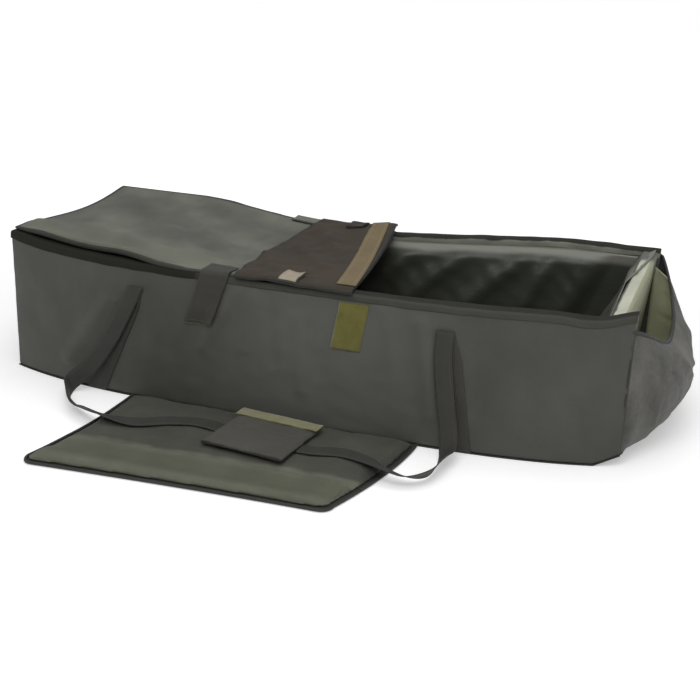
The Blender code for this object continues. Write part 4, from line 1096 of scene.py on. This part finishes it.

# %% [markdown]
# ## The lid
# The lid is one panel with a thin lining. It rests on the rims, sags between them and is drawn into slanted folds by
# its closing straps. It is sewn to the left end. A height for each place of the plan is enough for a cloth that lies,
# and panel, lining and straps can all ask for the same height and stay one above the other.

# %% Lid
LID_INSET = 0.016
LID_SIDE = HALF_WIDTH - LID_INSET
FOLD_X, FOLD_SKEW = 0.088, 0.130
FLAP_LENGTH = 0.1915
LID_AXIS_X = -HALF_LENGTH - LAY - BINDING - LAY
LID_SEAM_Z = 0.2584
LID_STACK = LAY + BINDING + SLACK
LID_TOP = LID_STACK + CLOTH + LAY + CLOTH
LID_HEM = 0.02
LID_SAG, LID_LUMP, EDGE_LIFT, EDGE_WAVE = 0.008, 0.012, 0.012, 0.003
STRAP_X = -0.126
LID_FOLDS = (
    ((-0.50, 0.14), (-0.20, -0.13), 0.028, 0.0085),
    ((-0.44, -0.13), (-0.12, -0.16), 0.022, 0.0080),
    ((-0.52, -0.06), (-0.26, -0.15), 0.017, 0.0065),
    ((-0.42, 0.16), (-0.13, -0.10), 0.018, 0.0060),
    ((-0.30, 0.17), (-0.11, 0.02), 0.018, 0.0055),
    ((-0.53, 0.03), (-0.34, -0.12), 0.015, 0.0050),
)


def lid_base(x, y):
    """Height of the lid's underside, as it is in the CAD model, with the folds."""
    free = (1 - clamp(np.abs(y) / LID_SIDE) ** 2) * clamp((x - LEFT_INNER_X - 0.05) / 0.09)
    folds = folded(x, y, LID_FOLDS) + 0.0010 * unevenness(x, y, 0.07, 71)
    lump = LID_LUMP * ridge(x, y, (LID_AXIS_X + 0.03, -0.150), (LID_AXIS_X + 0.05, -0.140), 0.022)
    flat = clamp((FOLD_X - FLAP_LENGTH - x) / 0.03)
    resting = HEIGHT - rim_drop(x, y) + LID_STACK
    return resting - LID_SAG * free + lump + folds * flat * smooth(1.6 * free)


def edge_lift(x, y):
    """How far the front edge is lifted between the seam and the strap."""
    along = clamp((x - LID_AXIS_X) / (-LENGTH / 6 - LID_AXIS_X))
    across = clamp((-y - HALF_WIDTH / 2) / (HALF_WIDTH / 2 - LID_INSET))
    return EDGE_LIFT * hump(along) ** 0.7 * across**1.5


def lid_surface(x, y):
    """The lid's underside with its front edge lifted and in waves."""
    near = smooth((x + 0.545) / 0.05) * smooth((STRAP_X - 0.03 - x) / 0.06)
    wave = 0.5 + 0.5 * np.sin((x + 0.52) * 34)
    return lid_base(x, y) + smooth((-y - 0.15) / 0.05) * near * EDGE_WAVE * wave + edge_lift(x, y)


def fold_x(y):
    """The flap's fold runs askew, further right in front than behind."""
    return FOLD_X - FOLD_SKEW * (leaned(FOLD_X, y) - leaned(FOLD_X, 0.0))


def lid_layer(rise):
    right = FOLD_X - 0.004

    def place(along, across):
        x = between(LID_AXIS_X + 0.002, right, along)
        hem = clamp((LID_HEM - across) / LID_HEM)
        drawn = 0.013 * smooth((x + 0.34) / 0.12) * smooth((0.0 - x) / 0.08)
        y = between(-(LID_SIDE + drawn), LID_SIDE, clamp((across - LID_HEM) / (1 - LID_HEM)))
        x = x + (fold_x(y) - FOLD_X) * clamp(x / right)
        drop = 0.0030 * clamp((-y - LID_SIDE) / 0.013) ** 2 + hem * 0.85 * edge_lift(x, y)
        return in_plan(x, y - 0.0015 * hem, lid_surface(x, y) + rise - drop)

    return place


def lay_lid():
    rows = np.concatenate([[0, 0.007, 0.014], np.linspace(LID_HEM, 1, 70)])
    lining = sheet_of_cloth("lid_lining_cloth", lid_layer(0), 150, rows, brown_cloth)
    panel = sheet_of_cloth("lid_cloth", lid_layer(CLOTH + LAY), 150, rows, lid_cloth)
    flat = (2 * LID_SIDE, FOLD_X - 0.004 - LID_AXIS_X)
    seam = ("tub", "lid", (LID_AXIS_X - 0.001, 0, LID_SEAM_Z), (LID_AXIS_X + 0.012, 0, LID_SEAM_Z))
    for piece, slot, node in ((panel, "lid", "lid_panel"), (lining, "brown_lining", "lid_lining")):
        sew_sheet(piece, seam, slot, node, flat, "laid", "front_wall", "back_wall", "left_end")


lay_lid()
print("lid laid on the rims")

# %% [markdown]
# ## The flap, folded back
# The right third of the lid is folded back on it, so its brown lining lies on top. A beige band crosses it, and a tab
# with hooks is folded in at each end. The flap lies loosely, so it has more wrinkles than the lid and droops over both
# rims. It is drawn on the lid's height as it lies here, because that is how the photograph shows it.

# %% Flap
FLAP_SIDE = HALF_WIDTH + 0.008
FLAP_STACK = LID_TOP + SLACK
TAB_X = {-1: 0.003, 1: -0.018}
TAB_WIDTH, TAB_LENGTH = 0.034, 0.050
BAND_WIDTH, BAND_FRONT_X, BAND_BACK_X = 0.033, 0.0965, 0.0225
FLAP_FOLDS = (
    ((-0.085, 0.16), (0.000, 0.02), 0.016, 0.0050),
    ((-0.070, 0.02), (0.020, -0.10), 0.014, 0.0045),
    ((-0.100, -0.06), (-0.040, -0.17), 0.013, 0.0040),
    ((0.000, 0.17), (0.060, 0.04), 0.016, 0.0040),
    ((-0.045, 0.14), (-0.030, -0.02), 0.012, 0.0030),
)


def flap_height(x, y):
    """Height of the flap's lower side."""
    wave = 0.5 + 0.5 * np.sin(38 * x + 21 * y + 1.2)
    puff = bell(x - 0.045, 0.03) * clamp((y + HALF_WIDTH) / WIDTH) ** 2
    folds = folded(x, y, FLAP_FOLDS) * smooth((HALF_WIDTH - 0.01 - np.abs(y)) / 0.05)
    loose = 0.002 * wave + folds + 0.0012 * (1 + unevenness(x, y, 0.05, 81))
    over_strap = 0.0022 * smooth((-y - 0.155) / 0.015) * smooth((-0.088 - x) / 0.010)
    lowest = lid_base(x, y) + FLAP_STACK - LID_STACK
    return lowest + loose * clamp((FOLD_X - x) / 0.06) + 0.006 * puff + over_strap


def on_flap(x, y, rise):
    """A place at this height over the flap's lower side, which droops a little over both rims."""
    droop = 0.0045 * clamp((np.abs(y) - HALF_WIDTH + 0.004) / 0.012) ** 2
    return in_plan(x, y, flap_height(x, y) + rise - droop)


def flap_layer(rise):
    def place(along, across):
        y = between(-FLAP_SIDE, FLAP_SIDE, across)
        drawn_in = 0.011 * smooth((-y - 0.150) / 0.04)
        wave = 0.003 * unevenness(y, 0 * y, 0.09, 82)
        edge = FOLD_X - FLAP_LENGTH - 0.006 * np.cos(math.pi * y / HALF_WIDTH) + wave + drawn_in
        return on_flap(between(fold_x(y) - 0.004, edge, 1 - along), y, rise)

    return place


def flap_band(along, across):
    y = between(-FLAP_SIDE + 0.022, FLAP_SIDE - 0.003, across)
    x = between(BAND_FRONT_X, BAND_BACK_X, across) + BAND_WIDTH * (along - 0.5)
    return on_flap(x, y, 2 * (CLOTH + LAY) + LAY)


def tab_layer(side, lift, inset):
    def place(along, across):
        x = TAB_X[side] + (TAB_WIDTH - 2 * inset) * (along - 0.5)
        y = side * (FLAP_SIDE - between(inset, TAB_LENGTH - inset, across))
        curl = 0.0022 * np.abs(2 * along - 1) ** 2 * smooth(across) + 0.0016 * unevenness(x, y, 0.03, 84 + side)
        return on_flap(x, y, 2 * (CLOTH + LAY) + SLACK + lift + np.maximum(curl, 0) * smooth(across / 0.3))

    return place


def fold_flap():
    panel = sheet_of_cloth("flap_cloth", flap_layer(0), 80, 110, lid_cloth)
    lining = sheet_of_cloth("flap_lining_cloth", flap_layer(CLOTH + LAY), 80, 110, brown_cloth)
    for piece, slot, node in ((panel, "lid", "flap_panel"), (lining, "brown_lining", "flap_lining")):
        sew_sheet(piece, "flap", slot, node, (FLAP_LENGTH, 2 * FLAP_SIDE), "folded", "lid_cloth")
    tape = sheet_of_cloth("flap_band", flap_band, 12, 130, beige_webbing, TAPE, hems="ends")
    sew(tape, "flap", "beige_band", "flap_cross_band")
    for (side, name), cloth, face in zip(SIDES, (strap_tape, brown_cloth), (beige_hooks, brown_hooks)):
        strap = sheet_of_cloth(f"flap_{name}_tab_cloth", tab_layer(side, 0, 0), 10, 16, cloth)
        hook_side = tab_layer(side, CLOTH + LAY, 0.002)
        hooks = sheet_of_cloth(f"flap_{name}_tab_hooks", hook_side, 10, 16, face, TAPE)
        sew(strap, f"{name}_tab", "strap", f"flap_{name}_tab")
        sew(hooks, f"{name}_tab", "beige_hook", f"flap_{name}_tab_hook")


fold_flap()
print("flap folded back")

# %% [markdown]
# ## Closing straps, loop tape and sewn webbing
# Everything sewn to a wall is a flat strip that follows the wall's skin. The closing strap starts on the lid, bends
# over its edge and holds on to the olive loop tape below. Strips could be shrunk on to the wall by a modifier, but
# asking the wall for its skin keeps an even gap under each layer.

# %% Strips on the walls
TAPE_WIDTH, PATCH_LENGTH = 0.050, 0.085
STRAP_LENGTH, STRAP_LEAN, STRAP_ROOT, STRAP_BEND = 0.092, 0.030, 0.022, 0.006
WEBBING_WIDTH, ANCHOR_X, ANCHOR_HEIGHT = 0.038, 0.270, 0.213
STRAP_OUT = LAY + TAPE + LAY + TAPE + LAY


def wall_strip(name, side, x, lean, top, length, width, material, thickness=TAPE, out=LAY, narrow=0.0):
    """A strip down a wall. lean moves its foot along X, and narrow is the share by which its top is narrower."""

    def place(along, down):
        wide = width * (1 - narrow * (1 - smooth(down / 0.25)))
        return on_wall(side, x + lean * down + wide * (along - 0.5), top - length * down, out)

    return sheet_of_cloth(name, place, 10, max(12, int(length / 0.004)), material, thickness, (0, side, 0), "long")


def closing_strap(side, name):
    """One strip from its root on the lid, over the edge and down the wall."""
    rim = float(HEIGHT - rim_drop(STRAP_X, side * HALF_WIDTH))
    inner = LID_SIDE - STRAP_ROOT
    root_run = HALF_WIDTH + STRAP_OUT - inner
    total = root_run + STRAP_LENGTH
    quarter = STRAP_BEND * np.pi / 2

    def place(along, run):
        travelled = run * total
        past = travelled - (root_run - STRAP_BEND)
        on_lid = np.minimum(travelled, root_run - STRAP_BEND)
        turn = clamp(past / quarter) * np.pi / 2
        down = np.maximum(past - quarter, 0)
        x = STRAP_X + TAPE_WIDTH * (along - 0.5)
        z_top = lid_surface(x, side * np.minimum(inner + on_lid, LID_SIDE)) + LID_TOP - LID_STACK + LAY + CLOTH
        x = x - STRAP_LEAN * clamp(down / STRAP_LENGTH)
        soft = 0.0012 * unevenness(x, travelled, 0.05, 90 + side) * smooth(run / 0.2)
        y = side * (inner + on_lid + STRAP_BEND * np.sin(turn))
        ruck = 0.0008 * unevenness(x, y, 0.04, 91) * (turn <= 0)
        z = z_top - STRAP_BEND * (1 - np.cos(turn)) - down * 0.965 + ruck
        flare = 0.0045 * smooth((down / STRAP_LENGTH - 0.55) / 0.45) * (0.5 + 0.5 * np.cos(along * 4.6 + 1.0))
        lean_out = wall_swell(side, x, np.minimum(z / (rim / HEIGHT), HEIGHT * 0.985)) * smooth(down / 0.02)
        y = y + side * (lean_out + flare + np.maximum(soft, 0) * smooth(down / 0.03))
        return in_plan(x, y, z)

    cloth = strap_tape if side < 0 else lid_cloth
    strap = sheet_of_cloth(f"{name}_closing_strap", place, 14, 44, cloth, CLOTH, (0, side, 1), "long")
    y_edge = float(leaned(STRAP_X, side * (HALF_WIDTH + STRAP_OUT)))
    top = rim + LID_TOP
    start, end = (STRAP_X, y_edge - side * 0.009, top + 0.001), (STRAP_X, y_edge + side * 0.002, top - 0.010)
    bend = ("lid", f"{name}_strap", start, end)
    sew(strap, bend, "strap", f"lid_{name}_strap_root", f"lid_{name}_strap")
    hooks = wall_strip(
        f"{name}_strap_hooks", side, STRAP_X - STRAP_LEAN * 0.27, -STRAP_LEAN * 0.62, HEIGHT - 0.024, 0.060,
        TAPE_WIDTH - 0.006, beige_hooks, -TAPE, STRAP_OUT - LAY * 0.5,
    )
    sew(hooks, f"{name}_strap", "beige_hook", f"lid_{name}_strap_hook")


for side, name in SIDES:
    closing_strap(side, name)
    for end, x, lean, length, width in (
        ("left", STRAP_X - 0.005, -STRAP_LEAN * 0.88, 0.079, TAPE_WIDTH - 0.002),
        ("right", 0.117, -0.013, PATCH_LENGTH, TAPE_WIDTH),
    ):
        top = HEIGHT - BINDING_DROP - 0.003
        patch = wall_strip(f"{name}_loop_tape_{end}", side, x, lean, top, length, width, olive_loops)
        sew(patch, "tub", "olive_loop", f"{name}_loop_patch_{end}")
    for end, x, lean in (("left", -ANCHOR_X, -0.090), ("right", ANCHOR_X, 0.033)):
        band = wall_strip(
            f"{name}_sewn_webbing_{end}", side, x, lean, ANCHOR_HEIGHT, ANCHOR_HEIGHT - FOOT, WEBBING_WIDTH,
            carry_webbing, WEBBING, narrow=0.35,
        )
        sew(band, "tub", "webbing", f"{name}_webbing_{end}")
print("straps, loop tape and webbing in place")

# %% [markdown]
# ## Carrying handles
# Each handle is one flat webbing loop. The front one drops over the base and lies on the mat, mostly flat and
# sometimes on its edge. A flat strap is modelled straight away as a ribbon: a smooth curve carries the direction of
# its width, so that it can twist.

# %% Webbing loops
HANDLE_WIDTH, BACK_LOOP_REACH = 0.030, 0.150
HANDLE_OUT = LAY + WEBBING + SLACK + WEBBING / 2
ON_GROUND = WEBBING / 2 + SLACK
ON_MAT = 0.016 + SLACK + WEBBING / 2


def wall_point(side, x, height, out, lean, turned=False):
    """A place beside a wall and the direction of the ribbon's width there."""
    def at(where):
        return np.array(settle(where, side * (HALF_WIDTH + (HANDLE_OUT + out)), height), dtype=float)

    along = at(x + 0.01) - at(x - 0.01)
    wide = along / np.linalg.norm(along) + np.array((0, 0, -lean))
    return at(x), -wide if turned else wide


def smooth_route(route, per_span):
    """A smooth curve through places that each have a width direction."""
    route = np.array([[*place, *wide] for place, wide in route])
    ends = np.vstack([route[0], route, route[-1]])
    found = []
    for before, start, end, after in zip(ends, ends[1:], ends[2:], ends[3:]):
        for t in np.arange(per_span) / per_span:
            found.append(0.5 * (
                2 * start + (end - before) * t + (2 * before - 5 * start + 4 * end - after) * t**2
                + (3 * start - before - 3 * end + after) * t**3
            ))
    return np.array([*found, route[-1]])


def carry_loop(side, word, route, per_span):
    path = smooth_route(route, per_span)
    path[:, 2] = np.maximum(path[:, 2], ON_GROUND)
    wide = unit(path[:, 3:])
    cup = unit(np.cross(np.gradient(path[:, :3], axis=0), wide))

    def place(along, across):
        i = np.rint(along * (len(path) - 1)).astype(int)
        share = (across - 0.5)[..., None]
        curl = 0.0006 * (1 - (2 * share) ** 2) * np.sign(cup[i][..., 2:])
        return np.moveaxis(path[i, :3] + wide[i] * HANDLE_WIDTH * share + cup[i] * curl, -1, 0)

    shape = (place, len(path) - 1, 6, carry_webbing, WEBBING, None, "long")
    loop = sheet_of_cloth(f"{word}_carry_loop", *shape)
    loop.modifiers[0].offset = 0
    top, foot = (
        tuple(map(float, settle(0.0, side * (HALF_WIDTH + HANDLE_OUT), ANCHOR_HEIGHT - under)))
        for under in (0.001, 0.016)
    )
    return sew(loop, ("tub", f"{word}_handle", top, foot), "webbing", f"{word}_handle_loop")


print("loose webbing hangs", round(HANDLE_OUT, 4), "m off the wall")

# %% The two handles


def back_route():
    drop = ((ANCHOR_HEIGHT, 0.0016), (0.12, 0.004), (0.045, 0.009))
    route = [wall_point(1, -ANCHOR_X, height, out, 0) for height, out in drop]
    foot = wall_point(1, -ANCHOR_X, 0.0, 0, 0)[0][1] + 0.020
    for angle in np.linspace(0, np.pi, 9):
        place = (-ANCHOR_X * np.cos(angle), foot + BACK_LOOP_REACH * np.sin(angle), ON_GROUND)
        route.append((place, (np.cos(angle) * BACK_LOOP_REACH, -np.sin(angle) * ANCHOR_X, 0)))
    return route + [wall_point(1, ANCHOR_X, height, out, 0, True) for height, out in reversed(drop)]


front_route = [
    wall_point(-1, -ANCHOR_X - 0.004, ANCHOR_HEIGHT, 0.0016, 0),
    wall_point(-1, -0.296, 0.165, 0.004, 0.46),
    wall_point(-1, -0.328, 0.103, 0.007, 0.50),
    wall_point(-1, -0.364, 0.050, 0.013, 0.66),
    ((-0.394, -0.292, 0.018), (0.42, 0.18, -0.88)),
    ((-0.372, -0.336, 0.0165), (0.19, 0.16, -0.97)),
    ((-0.336, -0.368, 0.0140), (0.36, 0.69, -0.62)),
    ((-0.294, -0.392, 0.0215), (0.36, 0.69, -0.62)),
    ((-0.254, -0.404, ON_MAT + 0.0054), (0.10, 0.93, -0.30)),
    ((-0.208, -0.401, ON_MAT + 0.0018), (-0.30, 0.95, 0)),
    ((-0.160, -0.372, ON_MAT + 0.0006), (-0.42, 0.91, 0)),
    ((-0.112, -0.357, ON_MAT), (-0.02, 1.00, 0)),
    ((-0.052, -0.368, ON_MAT), (0.21, 0.98, 0)),
    ((0.020, -0.382, ON_MAT), (0.13, 0.99, 0)),
    ((0.090, -0.386, ON_MAT), (-0.05, 0.99, 0)),
    ((0.140, -0.375, ON_MAT), (-0.05, 0.99, 0)),
    ((0.182, -0.386, ON_MAT + 0.001), (0.25, 0.95, -0.12)),
    ((0.218, -0.410, ON_MAT + 0.004), (0.10, 0.93, -0.36)),
    ((0.256, -0.412, 0.0150), (-0.05, 0.89, -0.45)),
    ((0.284, -0.388, 0.0150), (-0.40, 0.52, -0.75)),
    ((0.292, -0.346, 0.0165), (-0.54, 0.06, -0.84)),
    ((0.294, -0.312, 0.0170), (-0.82, 0, -0.57)),
    wall_point(-1, 0.287, 0.042, 0.015, -0.10, True),
    wall_point(-1, 0.276, 0.103, 0.007, -0.10, True),
    wall_point(-1, 0.268, 0.165, 0.004, -0.12, True),
    wall_point(-1, ANCHOR_X - 0.002, ANCHOR_HEIGHT, 0.0016, 0, True),
]
front_loop = carry_loop(-1, "front", front_route, 9)
carry_loop(1, "back", back_route(), 10)
print("front loop", len(front_loop.data.vertices), "points")

# %% [markdown]
# ## The kneeling mat and the wrap
# Both are padded: cloth sewn round soft foam. A cloth simulation blows each closed cover up like a cushion, so the
# cloth swells between its seams and puckers at its corners as real padding does. Every point may only move a little
# way, which keeps the pad inside the room that the CAD model gives it. The sewn lines are pressed in afterwards.

# %% Blow a pad up
PUFF_FRAMES = 20
PAD_PATTERN = 1.3


def points_of(mesh):
    co = np.empty(len(mesh.vertices) * 3)
    mesh.vertices.foreach_get("co", co)
    return co.reshape(-1, 3)


def apply_modifiers(piece):
    graph = bpy.context.evaluated_depsgraph_get()
    mesh = bpy.data.meshes.new_from_object(piece.evaluated_get(graph))
    piece.modifiers.clear()
    old = piece.data
    piece.data = mesh
    bpy.data.meshes.remove(old)


def puff_up(pad, voxel, most, pressure=4.0):
    """Cloth simulation of a closed cover under pressure, with its movement capped."""
    remesh = pad.modifiers.new("Even mesh", "REMESH")
    remesh.mode = "VOXEL"
    remesh.voxel_size = voxel
    apply_modifiers(pad)
    co = points_of(pad.data)
    cloth = pad.modifiers.new("Cloth", "CLOTH")
    cloth.settings.use_pressure = True
    cloth.settings.uniform_pressure_force = pressure
    cloth.settings.effector_weights.gravity = 0
    for number in range(1, PUFF_FRAMES + 1):
        scene.frame_set(number)
    graph = bpy.context.evaluated_depsgraph_get()
    move = points_of(pad.evaluated_get(graph).data) - co
    pad.modifiers.remove(cloth)
    scene.frame_set(1)
    length = np.linalg.norm(move, axis=1, keepdims=True)
    co = co + move * np.minimum(1, most / np.maximum(length, 1e-9))
    pad.data.vertices.foreach_set("co", co.ravel())
    pad.data.shade_smooth()
    return co


def refined(pad, co):
    """Moves a pad's points, divides its faces once and writes the facts for its finish."""
    pad.data.vertices.foreach_set("co", co.ravel())
    pad.data.update()
    smoother = pad.modifiers.new("Finer", "SUBSURF")
    smoother.levels = smoother.render_levels = 1
    apply_modifiers(pad)
    pad.data.shade_smooth()
    co = points_of(pad.data)
    x, y, z = co.T
    carry(pad.data, as_points([x, y + z, PAD_PATTERN]), np.ones(len(co)))
    return co


print("puffing is", "on")

# %% Mat shape
MAT_DEPTH, MAT_FOLD = 0.271, 0.193
MAT_LEFT_X, MAT_RIGHT_X = -0.284, 0.231
MAT_REAR_Y = float(leaned(0.0, -HALF_WIDTH)) - SLACK
MAT_CORNER, MAT_WELT = 0.016, 0.0024
MAT_EDGE, MAT_CROWN = 0.0065, 0.0075
MAT_FLARE, MAT_TAPER, MAT_SKEW = 0.034, 0.060, 0.026
MAT_FOOT, MAT_SOFT_TOP, MAT_SPARE = 0.0012, 0.0115, 0.0042
FOLD_GROOVE, FRONT_VALLEY = 0.0070, 0.0042


def mat_sides(forward):
    """Left and right edges of the mat, from its rear edge at 0 to its front edge at 1."""
    from_front = MAT_DEPTH * (1 - forward)
    inset = MAT_CORNER - np.sqrt(np.maximum(0, MAT_CORNER**2 - np.maximum(MAT_CORNER - from_front, 0) ** 2))
    left, right = MAT_LEFT_X - MAT_FLARE * forward**3, MAT_RIGHT_X - MAT_TAPER * forward**1.7
    return left + inset, right - inset


def mat_lie(x, y, z):
    """The front half lies askew, further forward at its left."""
    leftward = clamp((MAT_RIGHT_X - x) / (MAT_RIGHT_X - MAT_LEFT_X), 0, 1.1)
    forward = clamp((MAT_REAR_Y - MAT_FOLD - y) / (MAT_DEPTH - MAT_FOLD), 0, 1.1)
    return x, y - MAT_SKEW * leftward**1.6 * forward, z


def mat_top(side, forward):
    """The padding's height: a wide swell behind the fold and a narrower one in front of it."""
    fold = MAT_FOLD / MAT_DEPTH
    ahead = clamp((forward - fold) / (1 - fold))
    swell = np.where(forward < fold, hump(clamp(forward / fold)) ** 0.5, hump(ahead) ** 0.25)
    across = 1 - np.abs(2 * side - 1) ** 12
    return MAT_EDGE + MAT_CROWN * swell * across * (1 + 0.06 * unevenness(side, forward * 0.6, 0.22, 101))


def mat_cover():
    """The closed cover before it is blown up: a top, a flat underside and the band between them."""
    u, v = np.meshgrid(steps(110), steps(64), indexing="ij")
    left, right = mat_sides(v)
    x = between(left + 0.0012, right - 0.0012, u)
    y = MAT_REAR_Y - MAT_DEPTH * between(0.004, 0.996, v)
    upper = as_points(mat_lie(x, y, mat_top(u, v) - 0.0010))
    lower = upper.copy()
    lower[..., 2] = 0.0016
    index = np.arange(u.size).reshape(u.shape)
    faces = [quads(index)[:, [0, 3, 2, 1]], quads(index + u.size)]
    for high in (index[0], index[-1, ::-1], index[::-1, 0], index[:, -1]):
        low = high + u.size
        faces.append(np.stack([high[:-1], low[:-1], low[1:], high[1:]], -1))
    points = np.concatenate([upper.reshape(-1, 3), lower.reshape(-1, 3)])
    pad = finish_mesh("kneeling_mat", points, np.concatenate(faces), points, np.zeros(len(points)), mat_cloth)
    bm = bmesh.new()
    bm.from_mesh(pad.data)
    bmesh.ops.recalc_face_normals(bm, faces=bm.faces)
    bm.to_mesh(pad.data)
    bm.free()
    return pad


def mat_pad():
    pad = mat_cover()
    co = puff_up(pad, 0.0038, 0.0045)
    x, y, z = co.T
    forward = (MAT_REAR_Y - y) / MAT_DEPTH
    fold_at = MAT_FOLD / MAT_DEPTH - 0.010 + 0.02 * clamp((MAT_RIGHT_X - x) / (MAT_RIGHT_X - MAT_LEFT_X))
    valley = FRONT_VALLEY * bell(forward - (1 + fold_at) / 2 - 0.01, 0.060)
    groove = FOLD_GROOVE * bell(forward - fold_at, 0.020) + valley - 0.0008 * unevenness(x, y, 0.05, 102)
    above = np.maximum(z - MAT_SOFT_TOP, 0)
    capped = np.where(above > 0, MAT_SOFT_TOP + MAT_SPARE * (1 - np.exp(-above / MAT_SPARE)), z)
    co[:, 2] = np.maximum(capped - groove * smooth((z - 0.004) / 0.006), MAT_FOOT)
    refined(pad, co)
    return pad


mat = mat_pad()
fold_y = MAT_REAR_Y - MAT_FOLD
bend = ("mat_rear", "mat_front", (0, fold_y + 0.010, 0.005), (0, fold_y - 0.010, 0.005))
sew(mat, bend, "mat", "mat_rear_cover", "mat_rear_foam", "mat_front_cover", "mat_front_foam")
print("mat", len(mat.data.vertices), "points")

# %% Mat backing and bound edges


def mat_backing(name, first, last):
    def place(side, share):
        forward = between(first, last, share) / MAT_DEPTH
        left, right = mat_sides(forward)
        return mat_lie(between(left, right, side), MAT_REAR_Y - MAT_DEPTH * forward, 0 * side + 0.0001)

    backing = sheet_of_cloth(f"{name}_backing_cloth", place, 30, 16, sheet_cloth)
    flat = (last - first, MAT_RIGHT_X - MAT_LEFT_X)
    sew_sheet(backing, name, "ground_sheet", f"{name}_backing", flat, "laid", "floor")


def mat_edge(side, first, last):
    """Places along one side of the mat, a little out from its edge."""
    route = []
    for forward in between(first, last, steps(24)) / MAT_DEPTH:
        x = mat_sides(forward)[side > 0] + side * MAT_WELT * 0.8
        route.append((x, MAT_REAR_Y - MAT_DEPTH * forward, MAT_WELT + SLACK / 3))
    return route


def welt(name, route, body, node):
    lain = [mat_lie(*place) for place in route]
    sew(tube_along(name, lain, MAT_WELT, binding_tape), body, "binding", node)


def bind_mat():
    for name, side in (("left", -1), ("right", 1)):
        route = mat_edge(side, 0, MAT_FOLD - 0.001)
        welt(f"mat_rear_edge_{name}", route, "mat_rear", f"mat_rear_binding_{name}")
    left, right = (mat_edge(side, MAT_FOLD + 0.001, MAT_DEPTH - MAT_CORNER) for side in (-1, 1))
    corner_y = MAT_REAR_Y - MAT_DEPTH + MAT_CORNER
    reach = MAT_CORNER + MAT_WELT * 0.8
    first, last = left[-1][0] + reach, right[-1][0] - reach
    quarter = np.linspace(0, np.pi / 2, 9)[1:]
    round_front = [(first - reach * np.cos(a), corner_y - reach * np.sin(a)) for a in quarter]
    round_front += [(between(first, last, share), corner_y - reach) for share in steps(60)[1:-1]]
    round_front += [(last + reach * np.sin(a), corner_y - reach * np.cos(a)) for a in [0, *quarter]]
    route = [*left, *((x, y, left[0][2]) for x, y in round_front), *right[-2::-1]]
    welt("mat_front_edge", route, "mat_front", "mat_front_binding")


mat_backing("mat_rear", 0, MAT_FOLD - 0.0004)
mat_backing("mat_front", MAT_FOLD + 0.0004, MAT_DEPTH)
bind_mat()
print("mat bound")

# %% Wrap on the front handle
GRIP_LENGTH, GRIP_DEPTH, GRIP_PAD = 0.155, 0.148, 0.008
GRIP_TURN = math.radians(-6.5)
GRIP_X, GRIP_Y = 0.0045, -0.3715
GRIP_STRIP = 0.028
GRIP_FOOT = ON_MAT + WEBBING / 2 + LAY


def on_wrap(x, y, z):
    """Turns a place on the wrap to how the wrap lies."""
    cosine, sine = math.cos(GRIP_TURN), math.sin(GRIP_TURN)
    return GRIP_X + x * cosine - y * sine, GRIP_Y + x * sine + y * cosine, z


def wrap():
    half_x, half_y = GRIP_LENGTH / 2, GRIP_DEPTH / 2
    low = (-half_x + 0.001, -half_y + 0.001, GRIP_FOOT + 0.0012)
    high = (half_x - 0.001, half_y - 0.001, GRIP_FOOT + GRIP_PAD - 0.0022)

    def from_edge(co):
        return np.minimum(half_x - np.abs(co[:, 0]), half_y - np.abs(co[:, 1]))

    box = (low, high, (0.004, 0.004, 0.002), 0.0018)
    pad = padded_box("handle_wrap", *box, lambda x, y, z: (x, y, z), grip_cloth)
    co = puff_up(pad, 0.004, 0.0022, 3.0)
    pressed = 0.0020 * bell(from_edge(co) - 0.007, 0.0024) + 0.0022 * bell(co[:, 1], 0.004)
    pressed = pressed - 0.0009 * unevenness(co[:, 0], co[:, 1], 0.045, 111)
    top = smooth((co[:, 2] - GRIP_FOOT - GRIP_PAD * 0.5) / 0.002)
    co[:, 2] = np.clip(co[:, 2] - pressed * top, GRIP_FOOT, GRIP_FOOT + GRIP_PAD + 0.0004)
    flat = refined(pad, co)
    edge = np.where(flat[:, 1] > half_y - 0.030, 1.0, from_edge(flat))
    pad.data.attributes["hem"].data.foreach_set("value", edge.astype(np.float32))
    pad.data.vertices.foreach_set("co", as_points(on_wrap(*flat.T)).ravel())
    across = Vector((-math.sin(GRIP_TURN), math.cos(GRIP_TURN), 0)) * 0.007
    centre = Vector((GRIP_X, GRIP_Y, GRIP_FOOT))
    hinge = ("front_handle", "grip_leaf", centre + across, centre - across)
    sew(pad, hinge, "grip", "grip_rear_leaf", "grip_front_leaf")

    def strip(along, across):
        x = between(-half_x + 0.003, half_x - 0.003, along)
        y = between(half_y - 0.003 - GRIP_STRIP, half_y - 0.003, across)
        return on_wrap(x, y, GRIP_FOOT + GRIP_PAD + LAY + 0.0005 * unevenness(x, y, 0.03, 112))

    tape = sheet_of_cloth("wrap_loop_strip", strip, 40, 10, wrap_loops, TAPE, hems="long")
    sew(tape, "front_handle", "olive_loop", "grip_hook_strip")


wrap()
print("wrap open on the handle")

# %% [markdown]
# ## Count of the pieces
# The last cell prints how many pieces were made. The dressed model has to stay within the CAD model's
# box, apart from a little cloth that stands proud.

# %% Count the pieces
print("pieces", len(made_pieces))
